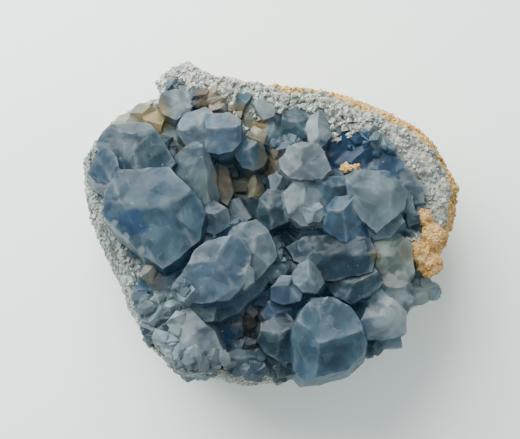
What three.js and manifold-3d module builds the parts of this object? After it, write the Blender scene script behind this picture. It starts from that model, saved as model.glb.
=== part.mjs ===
// Celestite cluster: a broken piece of geode wall with blue crystals grown on its inner side.
// Millimetres, +Z up. The origin is the middle of the flat broken base that it rests on.
import * as THREE from "three";
import { ConvexGeometry } from "three/addons/geometries/ConvexGeometry.js";
import { mergeVertices } from "three/addons/utils/BufferGeometryUtils.js";
import Module from "manifold-3d";

const wasm = await Module();
wasm.setup();

// Driving dimensions.
const clearance = 0.3; // between pieces that lie against each other
const widestHeight = 18; // level at which the wall reaches furthest out
const bowlDepthHeight = 19; // level of the wall under the middle of the crystals
const skirtRise = 0.5; // how steeply the undersides of overhanging crystals rise
const ledge = 0.9; // depth of the wall's broken ledges
const finestDetail = 0.03; // shorter edges are drawn together
const lidHeight = 90; // top of the space that the crystals may fill
const steps = 66; // points round the wall

// Plan of the wall at its widest: x, y, width of bare wall seen from above, height of its crest.
const wallPlan = [
  [56.8, 14, 14, 40],
  [55.3, 3.8, 12, 39],
  [51.8, -4.9, 11, 38],
  [47.0, -11.6, 7, 33],
  [46.5, -17, 3, 31.5],
  [40.5, -20.5, 3, 29.5],
  [36.2, -25.4, 3, 29.5],
  [33.5, -30.5, 3, 28.5],
  [28.6, -33.2, 3, 28.5],
  [23.0, -37, 3, 30.5],
  [16.5, -41.2, 3, 31.5],
  [9.4, -43, 3, 31.5],
  [2.3, -43.5, 4, 33.5],
  [-6.4, -45, 5, 34.5],
  [-15.2, -43, 4, 34.5],
  [-23.4, -41.8, 3, 33.5],
  [-32.7, -36.7, 6, 35.5],
  [-40.1, -26.8, 6, 35.5],
  [-44.3, -18.1, 8, 35.5],
  [-49.5, -8.1, 12, 34.5],
  [-53.6, 2.3, 8, 36.5],
  [-56.2, 11.7, 7, 36],
  [-56.5, 20.4, 6, 37],
  [-51.3, 28.7, 5, 36],
  [-45.4, 36.5, 7, 35],
  [-38.4, 40.3, 7, 34],
  [-33.2, 41.5, 5, 36],
  [-33.8, 47.3, 8, 39],
  [-27.4, 51.5, 10, 40],
  [-18.9, 48.5, 10, 41],
  [-9.9, 46.6, 9, 41],
  [2.3, 44, 7, 41],
  [15.4, 43, 8, 41],
  [28.5, 39.4, 10, 41],
  [40.1, 34.9, 14, 42],
  [48.9, 28.7, 16, 42],
  [53.9, 20.4, 16, 41],
];

// The crystals: highest point x, y, z; facets as downhill direction, slope and the distance from
// the highest point at which they start; and their outline in plan.
const crystals = {
  leftBlock: {
    peak: [-32, 3.5, 49.6],
    facets: [[95, 9], [268, 10], [222, 34, 6.5], [345, 16, 6], [178, 26, 9]],
    outline: [
      [-42, 12.7], [-28.4, 13.5], [-20.2, 4.6], [-18.9, 0.9], [-20.4, -6.1], [-25.8, -10.9],
      [-29.5, -12.9], [-34.2, -10.1], [-45.4, 1.1], [-45.6, 6.3],
    ],
  },
  upperLeftBlock: {
    peak: [-37.8, 19.3, 47.5],
    facets: [[186, 14], [8, 12], [92, 31, 4], [150, 34, 7.5]],
    outline: [
      [-48.2, 22.1], [-47, 24.7], [-44.8, 26.6], [-39.8, 27.3], [-34.2, 26.1], [-30.8, 21.8],
      [-27.4, 16.1], [-28.6, 13.8], [-42, 12.9], [-45.8, 16.9], [-47.9, 19.9],
    ],
  },
  paleLeftTablet: {
    peak: [-46.2, 13.9, 47.6],
    facets: [[205, 11], [40, 8]],
    outline: [
      [-50.7, 12.9], [-48.7, 16.5], [-47, 18.9], [-44.8, 19.2], [-43.2, 16.3], [-42.2, 13.1],
      [-43.1, 10.9], [-45.6, 9], [-48.4, 10.3],
    ],
  },
  greyUpperPair: {
    peak: [-20.7, 26.3, 45],
    facets: [[110, 19], [255, 16], [5, 9]],
    outline: [
      [-25.8, 27.7], [-23.5, 31.1], [-19.3, 32.2], [-16.6, 30.5], [-16.6, 20.3], [-20.2, 20.1],
      [-23.8, 21.9], [-25.9, 24.4],
    ],
  },
  greyUpperTwin: {
    peak: [-14, 25.5, 46.5],
    facets: [[272, 12], [84, 17], [330, 25, 3]],
    outline: [
      [-17.9, 29.5], [-12.3, 30.4], [-9.2, 27.7], [-9.4, 22.7], [-11.2, 20.2], [-14.6, 18.8],
      [-17.9, 19.7],
    ],
  },
  longBlueByPit: {
    peak: [-20.6, 16.9, 45.6],
    facets: [[202, 22], [345, 40, 1.6], [266, 19]],
    outline: [
      [-26.9, 17.5], [-24.6, 20.1], [-20.7, 21.5], [-18.2, 19.6], [-16.4, 13.7], [-15.7, 7.6],
      [-16.6, 5.3], [-22.8, 5.1], [-26.2, 7.6], [-28, 13.9],
    ],
  },
  middleGreyBlock: {
    peak: [-15.4, -12, 50],
    facets: [[130, 16], [244, 14], [350, 11], [288, 35, 7], [192, 30, 7.5]],
    outline: [
      [-24.7, -19], [-22.7, -13.9], [-20.4, -9.7], [-17.1, -7.1], [-11.8, -5.9], [-8.1, -7],
      [-6.2, -10.3], [-6.8, -14.8], [-8.9, -19.3], [-11.8, -22], [-18.8, -22.7], [-22.4, -22.3],
    ],
  },
  middleGreyShoulder: {
    peak: [-4.8, -7.8, 47.6],
    facets: [[82, 30, 2], [268, 25, 2], [0, 19], [182, 14]],
    outline: [
      [-11.2, -4.5], [-8.1, -1.5], [-4.5, -1], [-1.8, -3.5], [0.2, -7.3], [0.8, -9.8],
      [-2.2, -14.1], [-5.2, -16.9], [-7.6, -14.7], [-10.4, -8.7],
    ],
  },
  middleGreyKnob: {
    peak: [-7.6, -16.1, 49],
    facets: [[5, 20], [125, 19], [245, 22]],
    outline: [
      [-9.8, -14.7], [-8.5, -13.5], [-6.6, -13.5], [-5.3, -14.9], [-5.4, -17.7], [-7.4, -19.1],
      [-9.6, -17.9],
    ],
  },
  blueBladeUnderMiddle: {
    peak: [-7.6, -19.7, 43.4],
    facets: [[138, 28], [316, 34, 1.5], [222, 16]],
    outline: [
      [-0.3, -14.8], [-2.3, -18.1], [-9.2, -24.9], [-14.6, -27.1], [-17.9, -23.8], [-16.8, -19.9],
      [-6.2, -13.7],
    ],
  },
  centreBlock: {
    peak: [0.8, 3.8, 44.6],
    facets: [[100, 16], [205, 31, 2], [332, 14]],
    outline: [
      [-3.7, 3.1], [-2.9, 6.2], [-0.8, 8.1], [3.6, 8.2], [4.7, 4.2], [5.3, 0.3], [2.5, -1.2],
      [-0.6, -2.5], [-2.8, -0.5],
    ],
  },
  centreRightBlock: {
    peak: [9, 5.5, 47.6],
    facets: [[162, 19], [22, 22], [272, 23, 2]],
    outline: [
      [3.8, 7.3], [6.2, 10.4], [9, 11.1], [11.8, 9.9], [15.4, 5.9], [15.5, 2], [12.9, -0.9],
      [8.1, -1.3], [5.3, 0.6], [4, 3.9],
    ],
  },
  centreRightKnob: {
    peak: [11.2, 1.4, 48],
    facets: [[90, 22], [210, 23], [330, 22]],
    outline: [[8.6, 1.9], [10.4, 3.8], [12.9, 3.7], [14.3, 1.4], [12.9, -0.8], [10, -0.9]],
  },
  centreRightChip: {
    peak: [14.2, -0.5, 46.4],
    facets: [[60, 28], [250, 25]],
    outline: [[12, 0.7], [14, 1.7], [16, -0.3], [14.8, -2.3], [12.3, -1.9]],
  },
  paleRearBlock: {
    peak: [8.1, 16.3, 49],
    facets: [[176, 19], [4, 14], [262, 20, 2], [96, 31, 2.6]],
    outline: [
      [2.5, 16.3], [4.8, 19.1], [8.4, 20.6], [12.6, 20.3], [14.4, 17.1], [15.7, 13.4], [13.4, 11.4],
      [7.8, 10.8], [5, 11.8], [3, 14],
    ],
  },
  paleRearFinger: {
    peak: [13.4, 26.3, 45],
    facets: [[182, 28], [0, 31], [272, 20, 2]],
    outline: [
      [11.5, 30.1], [13.4, 31.1], [16, 28.5], [16.4, 24.9], [14.8, 21.9], [12.9, 20.4],
      [10.9, 22.4], [10.3, 26.3],
    ],
  },
  rearGreyBlock: {
    peak: [7.3, 28.3, 43],
    facets: [[92, 22], [250, 25], [345, 17]],
    outline: [
      [3.6, 31.4], [7.8, 32.8], [11.2, 31.1], [11.6, 26.1], [9, 24.6], [4.8, 23.7], [3.2, 26.6],
    ],
  },
  rearGreyTwin: {
    peak: [0.8, 27.5, 42],
    facets: [[182, 20], [4, 20], [272, 19, 1]],
    outline: [[-2.8, 28.3], [-0.8, 30.6], [3.4, 30.9], [3.8, 24.9], [0.8, 22.9], [-2.8, 23.3]],
  },
  steelNotched: {
    peak: [-6.4, 20.7, 42.8],
    facets: [[112, 19], [250, 22], [332, 26], [282, 38, 3]],
    outline: [
      [-10.1, 24.9], [-8.7, 26.2], [-5.9, 25.4], [-3, 22.8], [-1.7, 19.1], [-2.7, 16.7], [-5, 15.6],
      [-7.9, 16.3], [-9.9, 19.3],
    ],
  },
  deepBlueRear: {
    peak: [21.3, 21.3, 38.6],
    facets: [[262, 12], [82, 17]],
    outline: [
      [16.1, 22.9], [17.9, 25.8], [23, 26.2], [25.6, 23.8], [26.4, 20.5], [25.2, 17], [21.8, 16.1],
      [18.4, 17.5], [16.3, 19.9],
    ],
  },
  blueRearTwin: {
    peak: [29.7, 22.1, 40],
    facets: [[102, 17], [222, 17], [332, 23]],
    outline: [
      [25.4, 20.2], [26.3, 24.4], [28.8, 26.4], [32.5, 25.6], [33.8, 22.1], [32.4, 19.1],
      [29.7, 16.1], [26.4, 17.1],
    ],
  },
  blueRightRear: {
    peak: [35.8, 16, 39.4],
    facets: [[62, 17], [202, 20], [302, 23]],
    outline: [
      [32.2, 18.5], [35, 20.1], [38.6, 18.9], [40.4, 15.7], [38.1, 12.7], [35, 11.3], [32, 14.1],
    ],
  },
  navyRight: {
    peak: [38.9, 11.3, 36],
    facets: [[92, 19], [272, 28]],
    outline: [[35.6, 11.5], [37.8, 13.7], [41.2, 14.1], [42.4, 10.9], [40, 8.5], [37, 8.9]],
  },
  paleRightChip: {
    peak: [39.4, 14, 40.2],
    facets: [[100, 25], [262, 22]],
    outline: [[37.6, 13.1], [38.5, 15.5], [40.7, 14.9], [40.9, 12.8]],
  },
  rightBlock: {
    peak: [28, 7.3, 48.6],
    facets: [[92, 11], [252, 14], [346, 31, 4.6], [208, 28, 4.2]],
    outline: [
      [20.4, 11.8], [26, 13.3], [32.5, 12.4], [35, 9.3], [36.6, 6.7], [35.8, 3.1], [33, 0],
      [29.1, -2.7], [25, -0.3], [21.4, 4.9],
    ],
  },
  rightSteelWedge: {
    peak: [16.8, 8.8, 46.8],
    facets: [[84, 14], [232, 16], [304, 23]],
    outline: [
      [9.6, 9.3], [13.4, 11.3], [21, 12.2], [21.9, 7.6], [19.5, 4.5], [16.2, 3.5], [12.2, 6.1],
    ],
  },
  lavenderBlock: {
    peak: [19.9, 2, 48.2],
    facets: [[112, 16], [252, 20], [332, 31]],
    outline: [
      [15.2, 2.3], [17.6, 5.4], [21.8, 5.4], [25.3, 1.5], [26.1, -3.1], [24.1, -5.8], [19, -5.5],
      [14.9, -2.6],
    ],
  },
  tealUnderCentre: {
    peak: [12.3, -3.3, 42.2],
    facets: [[92, 19], [268, 17]],
    outline: [[8, -3.8], [9.6, -0.8], [15.1, -1.2], [18.2, -4.6], [14.4, -6.7], [8.4, -6.7]],
  },
  slateRightSlab: {
    peak: [18.2, -9.5, 45.6],
    facets: [[96, 14], [262, 12], [166, 20, 6]],
    outline: [
      [4.9, -7.7], [8.7, -5.1], [17.9, -4.5], [26.9, -5.7], [28.3, -9.9], [27.2, -14.2],
      [21.8, -15.3], [15.7, -16.6], [10.2, -13.5], [6.4, -10.6],
    ],
  },
  slateRightWedge: {
    peak: [23.2, -17.3, 44.2],
    facets: [[122, 20], [292, 26], [204, 23, 1]],
    outline: [
      [15.2, -17], [21.8, -14.1], [28, -13.3], [29.6, -16.6], [26.6, -20.1], [21.8, -22.3],
      [18, -20.7],
    ],
  },
  paleLowerKnob: {
    peak: [9.8, -15.7, 46.6],
    facets: [[172, 20], [2, 25], [272, 20, 1]],
    outline: [
      [5.8, -15.9], [7.4, -13.1], [10.1, -12.1], [12.9, -14.7], [14.2, -17.6], [12, -20.2],
      [8.5, -19.8], [6.5, -17.9],
    ],
  },
  greyLowerKnob: {
    peak: [4.2, -18.5, 45.2],
    facets: [[112, 20], [250, 23], [12, 20]],
    outline: [
      [0.2, -18.7], [2.3, -15.8], [5.6, -16], [8.1, -19.1], [7.2, -22.2], [3.4, -22.6],
      [0.5, -21.4],
    ],
  },
  blueBetweenKnobs: {
    peak: [9.2, -22.5, 41.5],
    facets: [[95, 22], [255, 25]],
    outline: [[5.8, -24.1], [9, -19.3], [12.4, -19.7], [12.2, -24.1], [9.1, -26.8], [6, -26.1]],
  },
  lavenderLowerPair: {
    peak: [1.4, -25.1, 42],
    facets: [[70, 25], [200, 22], [310, 28]],
    outline: [[-2.4, -25.6], [-1, -22.7], [2.2, -21.9], [5.2, -24.7], [3.5, -27.3], [-0.6, -28.5]],
  },
  navyLowerStep: {
    peak: [-1.4, -20.5, 40],
    facets: [[45, 23], [230, 31]],
    outline: [[-3.3, -17.9], [0, -16.9], [1.2, -20.7], [-1.4, -23.1], [-4.7, -21.9]],
  },
  bottomBlueBlock: {
    peak: [13.4, -33.1, 49],
    facets: [[82, 15], [298, 33, 1.4], [212, 40, 1.8], [10, 30, 9], [190, 26, 5.5]],
    outline: [
      [6.6, -35.6], [6.1, -30.5], [8.2, -26.5], [11.2, -22.8], [16.5, -22.5], [20.6, -24.9],
      [23.4, -28.8], [24.7, -33.8], [23.8, -36.9], [20.2, -40], [13.4, -41.9], [9.2, -42.4],
      [7.3, -40.4],
    ],
  },
  tealBottomBlock: {
    peak: [2.5, -31.1, 43.5],
    facets: [[102, 22], [240, 20], [302, 26]],
    outline: [
      [-2.3, -28.7], [3.6, -25.8], [6.1, -28.8], [6.5, -34.3], [6.9, -37.8], [3.4, -38.4],
      [-0.8, -36.1], [-3.3, -33.1],
    ],
  },
  bottomRowLeft: {
    peak: [-9.2, -37.4, 38.5],
    facets: [[95, 28], [260, 31]],
    outline: [[-12.6, -37.1], [-9.5, -35.1], [-6.2, -36.2], [-6.2, -40.4], [-11.4, -40.9]],
  },
  bottomRowMiddle: {
    peak: [-2.6, -37.4, 39],
    facets: [[80, 28], [275, 31]],
    outline: [[-6.5, -35.8], [-2, -35.1], [1, -36.8], [0.4, -41.1], [-5.8, -41.4]],
  },
  bottomRowRight: {
    peak: [4.1, -38.9, 38.5],
    facets: [[100, 28], [255, 30]],
    outline: [[0.8, -37.9], [4.2, -36.8], [7.4, -37.7], [7.2, -41.4], [2.4, -42.1]],
  },
  tealBottomStep: {
    peak: [-7.4, -33.6, 36],
    facets: [[90, 19], [270, 19]],
    outline: [
      [-11.7, -33.2], [-7.6, -31.8], [-3.7, -32.6], [-2.8, -35.4], [-7.6, -36.3], [-11.4, -35.8],
    ],
  },
  paleBottomLeft: {
    peak: [-21.6, -31.9, 45.5],
    facets: [[96, 16], [266, 19], [190, 20], [332, 23]],
    outline: [
      [-28.4, -34.3], [-27, -29.7], [-25.4, -25.9], [-22.7, -25], [-19.2, -27.9], [-16.2, -31.2],
      [-14.8, -34.4], [-13.6, -37.1], [-16.8, -39.4], [-22.4, -40], [-26.4, -37.6],
    ],
  },
  deepBlueLowerLeft: {
    peak: [-29.6, -28.9, 41],
    facets: [[102, 17], [262, 23], [190, 31, 2]],
    outline: [
      [-34, -28.5], [-31.4, -26.7], [-26, -25.7], [-26, -33.1], [-30.2, -33.1], [-33.2, -31.4],
    ],
  },
  striatedLowerLeft: {
    peak: [-28, -23.9, 43],
    facets: [[96, 23], [272, 29], [200, 17]],
    outline: [
      [-34.6, -23.2], [-30.2, -21.1], [-24.4, -21.1], [-21.1, -25.1], [-26.3, -27.3],
      [-31.4, -28.1], [-34.8, -27.1],
    ],
  },
  greyCubeLowerLeft: {
    peak: [-18.4, -24.3, 43.8],
    facets: [[60, 22], [240, 20]],
    outline: [[-21.8, -23.7], [-18.8, -21.5], [-15.9, -23.3], [-16, -27.1], [-20, -27.5]],
  },
  navyLowerMiddle: {
    peak: [-12.6, -28.5, 38],
    facets: [[94, 19], [274, 22]],
    outline: [
      [-17, -26.6], [-12.9, -25.3], [-9, -26.5], [-8.3, -31.2], [-12.3, -32.1], [-16.8, -30.7],
    ],
  },
  navyLowerMiddleTwin: {
    peak: [-12, -33.4, 36.6],
    facets: [[88, 22], [250, 25]],
    outline: [
      [-16, -31.9], [-11.8, -30.9], [-7.6, -31.9], [-8.8, -35], [-12.9, -36.1], [-15.8, -34.3],
    ],
  },
  smallBlueLeftEdge: {
    peak: [-34.8, -19.1, 38.6],
    facets: [[90, 25], [265, 28]],
    outline: [[-37, -16.2], [-33.4, -15.9], [-32.4, -22.7], [-36.6, -23.1]],
  },
  roseGreyLeft: {
    peak: [-28.6, -15.7, 40],
    facets: [[92, 17], [262, 20], [2, 17]],
    outline: [
      [-33.9, -16.8], [-31.4, -13.1], [-26, -10.3], [-23, -11.7], [-22.9, -17.6], [-26.7, -20.9],
      [-32, -21.3],
    ],
  },
  tealGap: {
    peak: [-16.6, -4.1, 40.4],
    facets: [[122, 20], [292, 23]],
    outline: [
      [-20.4, -2.9], [-14, -0.3], [-10, -0.6], [-10.4, -4.9], [-16.2, -8.1], [-21.5, -11.1],
      [-23, -8.7],
    ],
  },
  steelByTealGap: {
    peak: [-16, 1.7, 42.8],
    facets: [[92, 20], [232, 20], [332, 20]],
    outline: [
      [-19.5, 2.5], [-16.2, 5.5], [-12.8, 3.2], [-12.2, -0.9], [-15.7, -3.1], [-19.2, -2.4],
    ],
  },
  darkChipByPit: {
    peak: [-10.2, 0.1, 37.6],
    facets: [[80, 23], [260, 22]],
    outline: [[-13.6, 1.7], [-9, 2.5], [-7.2, 0.9], [-8.8, -2.1], [-13, -2.4]],
  },
  beigeFingerInPit: {
    peak: [-14.6, 12.3, 39.6],
    facets: [[182, 32], [2, 35], [270, 14]],
    outline: [[-17, 15.1], [-15.1, 16.7], [-13, 15.7], [-11.8, 9.5], [-12.8, 6.5], [-15.3, 7.9]],
  },
  navyInPit: {
    peak: [-9.4, 13.3, 33.4],
    facets: [[80, 22], [262, 19]],
    outline: [[-12.6, 14.5], [-9, 16.2], [-6.2, 14.3], [-7, 11.1], [-12, 10.7]],
  },
  brownRidgeInPit: {
    peak: [-4.2, 11.9, 37],
    facets: [[190, 30], [10, 35], [265, 16]],
    outline: [[-6.4, 11.5], [-4.5, 15.1], [-2.6, 13.7], [-2.5, 9.3], [-5.8, 8.5]],
  },
  navyBladeInPit: {
    peak: [-4, 7.5, 36],
    facets: [[222, 38], [60, 19]],
    outline: [[-9.4, 8.3], [-2.8, 8.5], [-2.4, 3.9], [-2.8, -0.9], [-5.2, 0.5]],
  },
  paleBladeInPit: {
    peak: [-9.8, 5.1, 37.4],
    facets: [[215, 35], [40, 30, 0.6]],
    outline: [[-13, 6.3], [-9.5, 7.3], [-6, 2], [-7.8, 0.7], [-12.4, 2.9]],
  },
  navyBelowCentre: {
    peak: [4.2, -3.7, 38],
    facets: [[92, 17], [250, 23], [352, 31]],
    outline: [
      [-0.8, -3.7], [2.2, -0.6], [7, -0.3], [9.2, -4.2], [8, -6.1], [4.5, -7.7], [1.6, -8.9],
      [-0.6, -6.9],
    ],
  },
  greyBesideRearBlock: {
    peak: [2.6, 11.3, 43.2],
    facets: [[150, 25], [340, 22]],
    outline: [[-0.2, 12.7], [2.2, 13.9], [5.4, 10.7], [3.8, 8.3], [0.4, 8.3]],
  },
  greenGreyRight: {
    peak: [33.3, -10.3, 43],
    facets: [[102, 17], [262, 23], [182, 20, 3], [2, 14]],
    outline: [
      [27.2, -8], [29.6, -4.9], [35.3, -4], [38.6, -6.1], [39.2, -13.7], [36.4, -17.5],
      [32.3, -17.3], [28.7, -14.7],
    ],
  },
  paleCornerLeft: {
    peak: [34.7, -19.3, 36.6],
    facets: [[122, 20], [270, 31], [2, 17]],
    outline: [
      [29.8, -18.7], [31.9, -16.3], [38.6, -16.5], [40.4, -20.4], [38.1, -23.9], [33.4, -23.3],
    ],
  },
  paleCornerRight: {
    peak: [42, -18.1, 33],
    facets: [[112, 23], [282, 30]],
    outline: [
      [37.6, -17.1], [44.2, -15.3], [47.2, -16.6], [48.2, -19.1], [43.7, -21.1], [39, -22.3],
    ],
  },
  greyLowerRight: {
    peak: [31.1, -25.7, 40.4],
    facets: [[112, 20], [280, 23], [352, 23]],
    outline: [
      [25, -27.7], [27.2, -22.1], [30, -19.1], [33.6, -21.9], [36.7, -24.9], [36.5, -29.7],
      [31.6, -31.1], [26, -30.9],
    ],
  },
  clearPrismLowerRight: {
    peak: [33, -31.4, 34],
    facets: [[95, 9], [270, 30, 1.6], [184, 28, 1]],
    outline: [[29.6, -30.5], [35.8, -29.7], [36.1, -33.6], [30.4, -34.1]],
  },
  mossGreyLowerRight: {
    peak: [26.4, -31.9, 32],
    facets: [[60, 22], [240, 25]],
    outline: [[22.8, -30.3], [30, -30.1], [30, -34.4], [25, -35.8]],
  },
  slateSliverRight: {
    peak: [25.6, -22.9, 39.4],
    facets: [[30, 28], [215, 31]],
    outline: [[20.6, -22.9], [26.2, -19.3], [28.8, -20.9], [25.8, -27.3], [23.2, -29.1]],
  },
  glassyUnderRight: {
    peak: [30.6, -0.9, 44.6],
    facets: [[82, 23], [262, 28]],
    outline: [[24.6, -0.9], [28.8, 2.5], [34.7, 2.7], [36.3, -0.8], [32.7, -4.1], [26.7, -5]],
  },
  darkGlassyRight: {
    peak: [38.2, -2.1, 39.6],
    facets: [[70, 25], [250, 25]],
    outline: [[35.2, -0.9], [38.1, 0.7], [41.4, -0.8], [40.4, -4.4], [36.2, -4.8]],
  },
  paleTopLeftCrown: {
    peak: [-26.9, 34.3, 43.6],
    facets: [[62, 23], [240, 17], [300, 32, 2.6]],
    outline: [
      [-31.6, 33.9], [-30.6, 36.9], [-25.8, 38], [-22.2, 35.6], [-23.6, 31.7], [-27.2, 30],
      [-30.2, 31.4],
    ],
  },
  mossGreyTopLeft: {
    peak: [-28.8, 24.9, 38.6],
    facets: [[62, 20], [242, 23]],
    outline: [[-32.4, 30.5], [-28.6, 30.7], [-25, 28.5], [-25.3, 21.9], [-28, 18.5], [-31.6, 22.9]],
  },
  stainedKnobRear: {
    peak: [-37, 32.5, 38.4],
    facets: [[110, 31], [250, 25], [0, 25]],
    outline: [
      [-40.5, 31.7], [-39.2, 34.4], [-37, 35.2], [-34, 34], [-33.4, 30.5], [-37, 28.7],
      [-39.9, 29.5],
    ],
  },
  stainedKnobLeft: {
    peak: [-42, 29.3, 38.2],
    facets: [[130, 31], [270, 22], [10, 25]],
    outline: [
      [-45, 29.7], [-43.1, 31.9], [-40.3, 31.9], [-38.4, 29.4], [-39.6, 26.4], [-43.1, 26.2],
    ],
  },
  stainedKnobRight: {
    peak: [-33.6, 29.5, 39.6],
    facets: [[80, 28], [240, 22]],
    outline: [[-36.4, 31.1], [-33, 33], [-31.4, 31.1], [-32, 27], [-35.3, 26.4]],
  },
  smallGreyTop: {
    peak: [-8.2, 34.3, 43.8],
    facets: [[60, 25], [215, 31]],
    outline: [[-10.3, 33.9], [-8.7, 36.3], [-6.2, 36.5], [-6.8, 33.9], [-8.7, 31.9]],
  },
  paleOblongTop: {
    peak: [-1.8, 32.3, 44.6],
    facets: [[35, 30], [220, 31]],
    outline: [[-4.4, 33.6], [-2.8, 34.8], [-0.1, 32.4], [0.2, 29.9], [-1.9, 29.5]],
  },
  greyBehindNotched: {
    peak: [-5, 28.7, 41.2],
    facets: [[70, 25], [250, 25]],
    outline: [[-8.9, 28.9], [-6.7, 31.6], [-2.6, 31.3], [-1.5, 28.3], [-3.7, 25.3], [-7.6, 25.6]],
  },
  beigeBeadTop: {
    peak: [-4.2, 24.9, 43.6],
    facets: [[90, 25], [210, 28], [330, 28]],
    outline: [[-6.4, 24.7], [-4.5, 26.8], [-2.1, 25.1], [-3, 22.6]],
  },
  greenGreyBehindPale: {
    peak: [7, 22.1, 37.6],
    facets: [[90, 19], [262, 20]],
    outline: [[1.8, 22.1], [5, 24.3], [10.4, 24.5], [11.3, 20.9], [6.4, 19.1], [3, 19.1]],
  },
  brownSlopeRear: {
    peak: [0.4, 18.5, 36.4],
    facets: [[70, 19], [250, 20]],
    outline: [[-2.4, 22.1], [2.2, 22.9], [3, 18.8], [2.1, 13.9], [-1.9, 13.5]],
  },
  greenGreyStrip: {
    peak: [16.6, 17.9, 39],
    facets: [[50, 22], [230, 25]],
    outline: [[13.2, 20.5], [16, 22.3], [19.8, 17.4], [18.7, 13.3], [15.5, 13.1]],
  },
  paleBitsRear: {
    peak: [29.6, 14.5, 38.4],
    facets: [[85, 22], [265, 25]],
    outline: [[26.2, 15.4], [29.7, 16.8], [33, 15.1], [32.7, 12.7], [27, 12.7]],
  },
  paleRightEdge: {
    peak: [37.6, 6.9, 42],
    facets: [[40, 22], [215, 28]],
    outline: [[33, 11.9], [35.5, 10.9], [39.4, 6.8], [39.9, 2.9], [36.4, 2.1], [34.5, 7.4]],
  },
  darkChipRight: {
    peak: [40.6, 6.7, 38.8],
    facets: [[60, 22], [240, 31]],
    outline: [[38.7, 7.3], [40.9, 8.9], [42.8, 6.5], [41.8, 4.3], [39.4, 5.1]],
  },
  bluePatchOnLeftWall: {
    peak: [-37.8, -7.7, 35.6],
    facets: [[80, 22], [240, 28]],
    outline: [[-40.8, -8.1], [-38.1, -5.7], [-34.8, -7.3], [-34.8, -9.7], [-39.8, -9.9]],
  },
  paleSplinterLeft: {
    peak: [-34.2, -13.9, 41.4],
    facets: [[140, 30], [300, 31]],
    outline: [[-36.2, -14.8], [-34.4, -11.5], [-31.7, -12.9], [-33.4, -16.5]],
  },
};
const overgrowth = 0.8; // how far neighbouring crystals grow into each other
const sideLean = 7; // degrees that a crystal's sides open out on the way down
const rootHeight = 8; // crystals are drawn down to here and then cut by the wall they grow on
const crestGrains = 56; // grains tried along the crest of the wall
const sideLumps = 22; // lumps tried on each of two bands of its sides
const heapMiddle = 40; // level of the small crystals between the large ones
const heapRise = 1; // rise of that layer just inside the lip
const heapRoughness = 2.8; // how far its surface goes up and down
const heapShares = [0.9, 0.76, 0.62, 0.48, 0.34, 0.19]; // its rings, as shares of the lip
const pitPlace = [-9, 10]; // the dark hollow between the crystals
const pitSize = 6.5;
const pitDepth = 14;
const rustPlace = [-5.6, -28]; // the rust-stained hollow
const rustSize = 4.5;
const rustDepth = 6;
const druseCount = 95; // small crystals tried on the layer between the large ones

// Clay lodged in the cluster: rounded lumps as x, y, z, radius, height.
const clayPatchLumps = [
  [42.6, 1.8, 40.5, 2.8, 4],
  [45.4, -3.2, 40, 3.9, 5],
  [42, -8, 38.6, 4.2, 5.4],
  [44.6, -11, 37, 3.9, 5],
];
const clayCrumbLumps = [
  [21.2, 15.3, 37.5, 2.4, 7],
  [23.8, 15.5, 37.5, 2.3, 6.6],
];
const claySeeds = { patch: 40, crumb: 60 };

// Helpers for closed solids.
function seeded(seed) {
  let state = seed >>> 0;
  return () => {
    state = (state + 0x6d2b79f5) >>> 0;
    let t = Math.imul(state ^ (state >>> 15), 1 | state);
    t = (t + Math.imul(t ^ (t >>> 7), 61 | t)) ^ t;
    return ((t ^ (t >>> 14)) >>> 0) / 4294967296;
  };
}

function solidOf(geometry) {
  const bare = geometry.index ? geometry.toNonIndexed() : geometry.clone();
  for (const name of Object.keys(bare.attributes)) {
    if (name !== "position") bare.deleteAttribute(name);
  }
  const merged = mergeVertices(bare, 1e-4);
  return new wasm.Manifold(
    new wasm.Mesh({
      numProp: 3,
      vertProperties: merged.attributes.position.array,
      triVerts: new Uint32Array(merged.index.array),
    }),
  );
}

const span = (p, q) => Math.hypot(p[0] - q[0], p[1] - q[1], p[2] - q[2]);

// The solid's faces with edges shorter than the finest detail drawn together into one point.
function geometryOf(solid) {
  const { vertProperties: places, triVerts } = solid.getMesh();
  const merged = Array.from({ length: places.length / 3 }, (_, i) => i);
  const find = (i) => {
    while (merged[i] !== i) i = merged[i];
    return i;
  };
  const at = (i) => places.subarray(3 * i, 3 * i + 3);
  for (let t = 0; t < triVerts.length; t++) {
    const a = triVerts[t];
    const b = triVerts[t % 3 === 2 ? t - 2 : t + 1];
    if (span(at(a), at(b)) >= finestDetail) continue;
    merged[find(Math.max(a, b))] = find(Math.min(a, b));
  }
  const faces = new Map();
  for (let t = 0; t < triVerts.length; t += 3) {
    const face = [find(triVerts[t]), find(triVerts[t + 1]), find(triVerts[t + 2])];
    if (new Set(face).size < 3) continue;
    const key = face.toSorted((i, j) => i - j).join();
    if (faces.has(key)) faces.delete(key);
    else faces.set(key, face);
  }
  const geometry = new THREE.BufferGeometry();
  geometry.setAttribute("position", new THREE.BufferAttribute(new Float32Array(places), 3));
  geometry.setIndex([...faces.values()].flat());
  return mergeVertices(geometry.toNonIndexed(), 1e-4);
}

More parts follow.
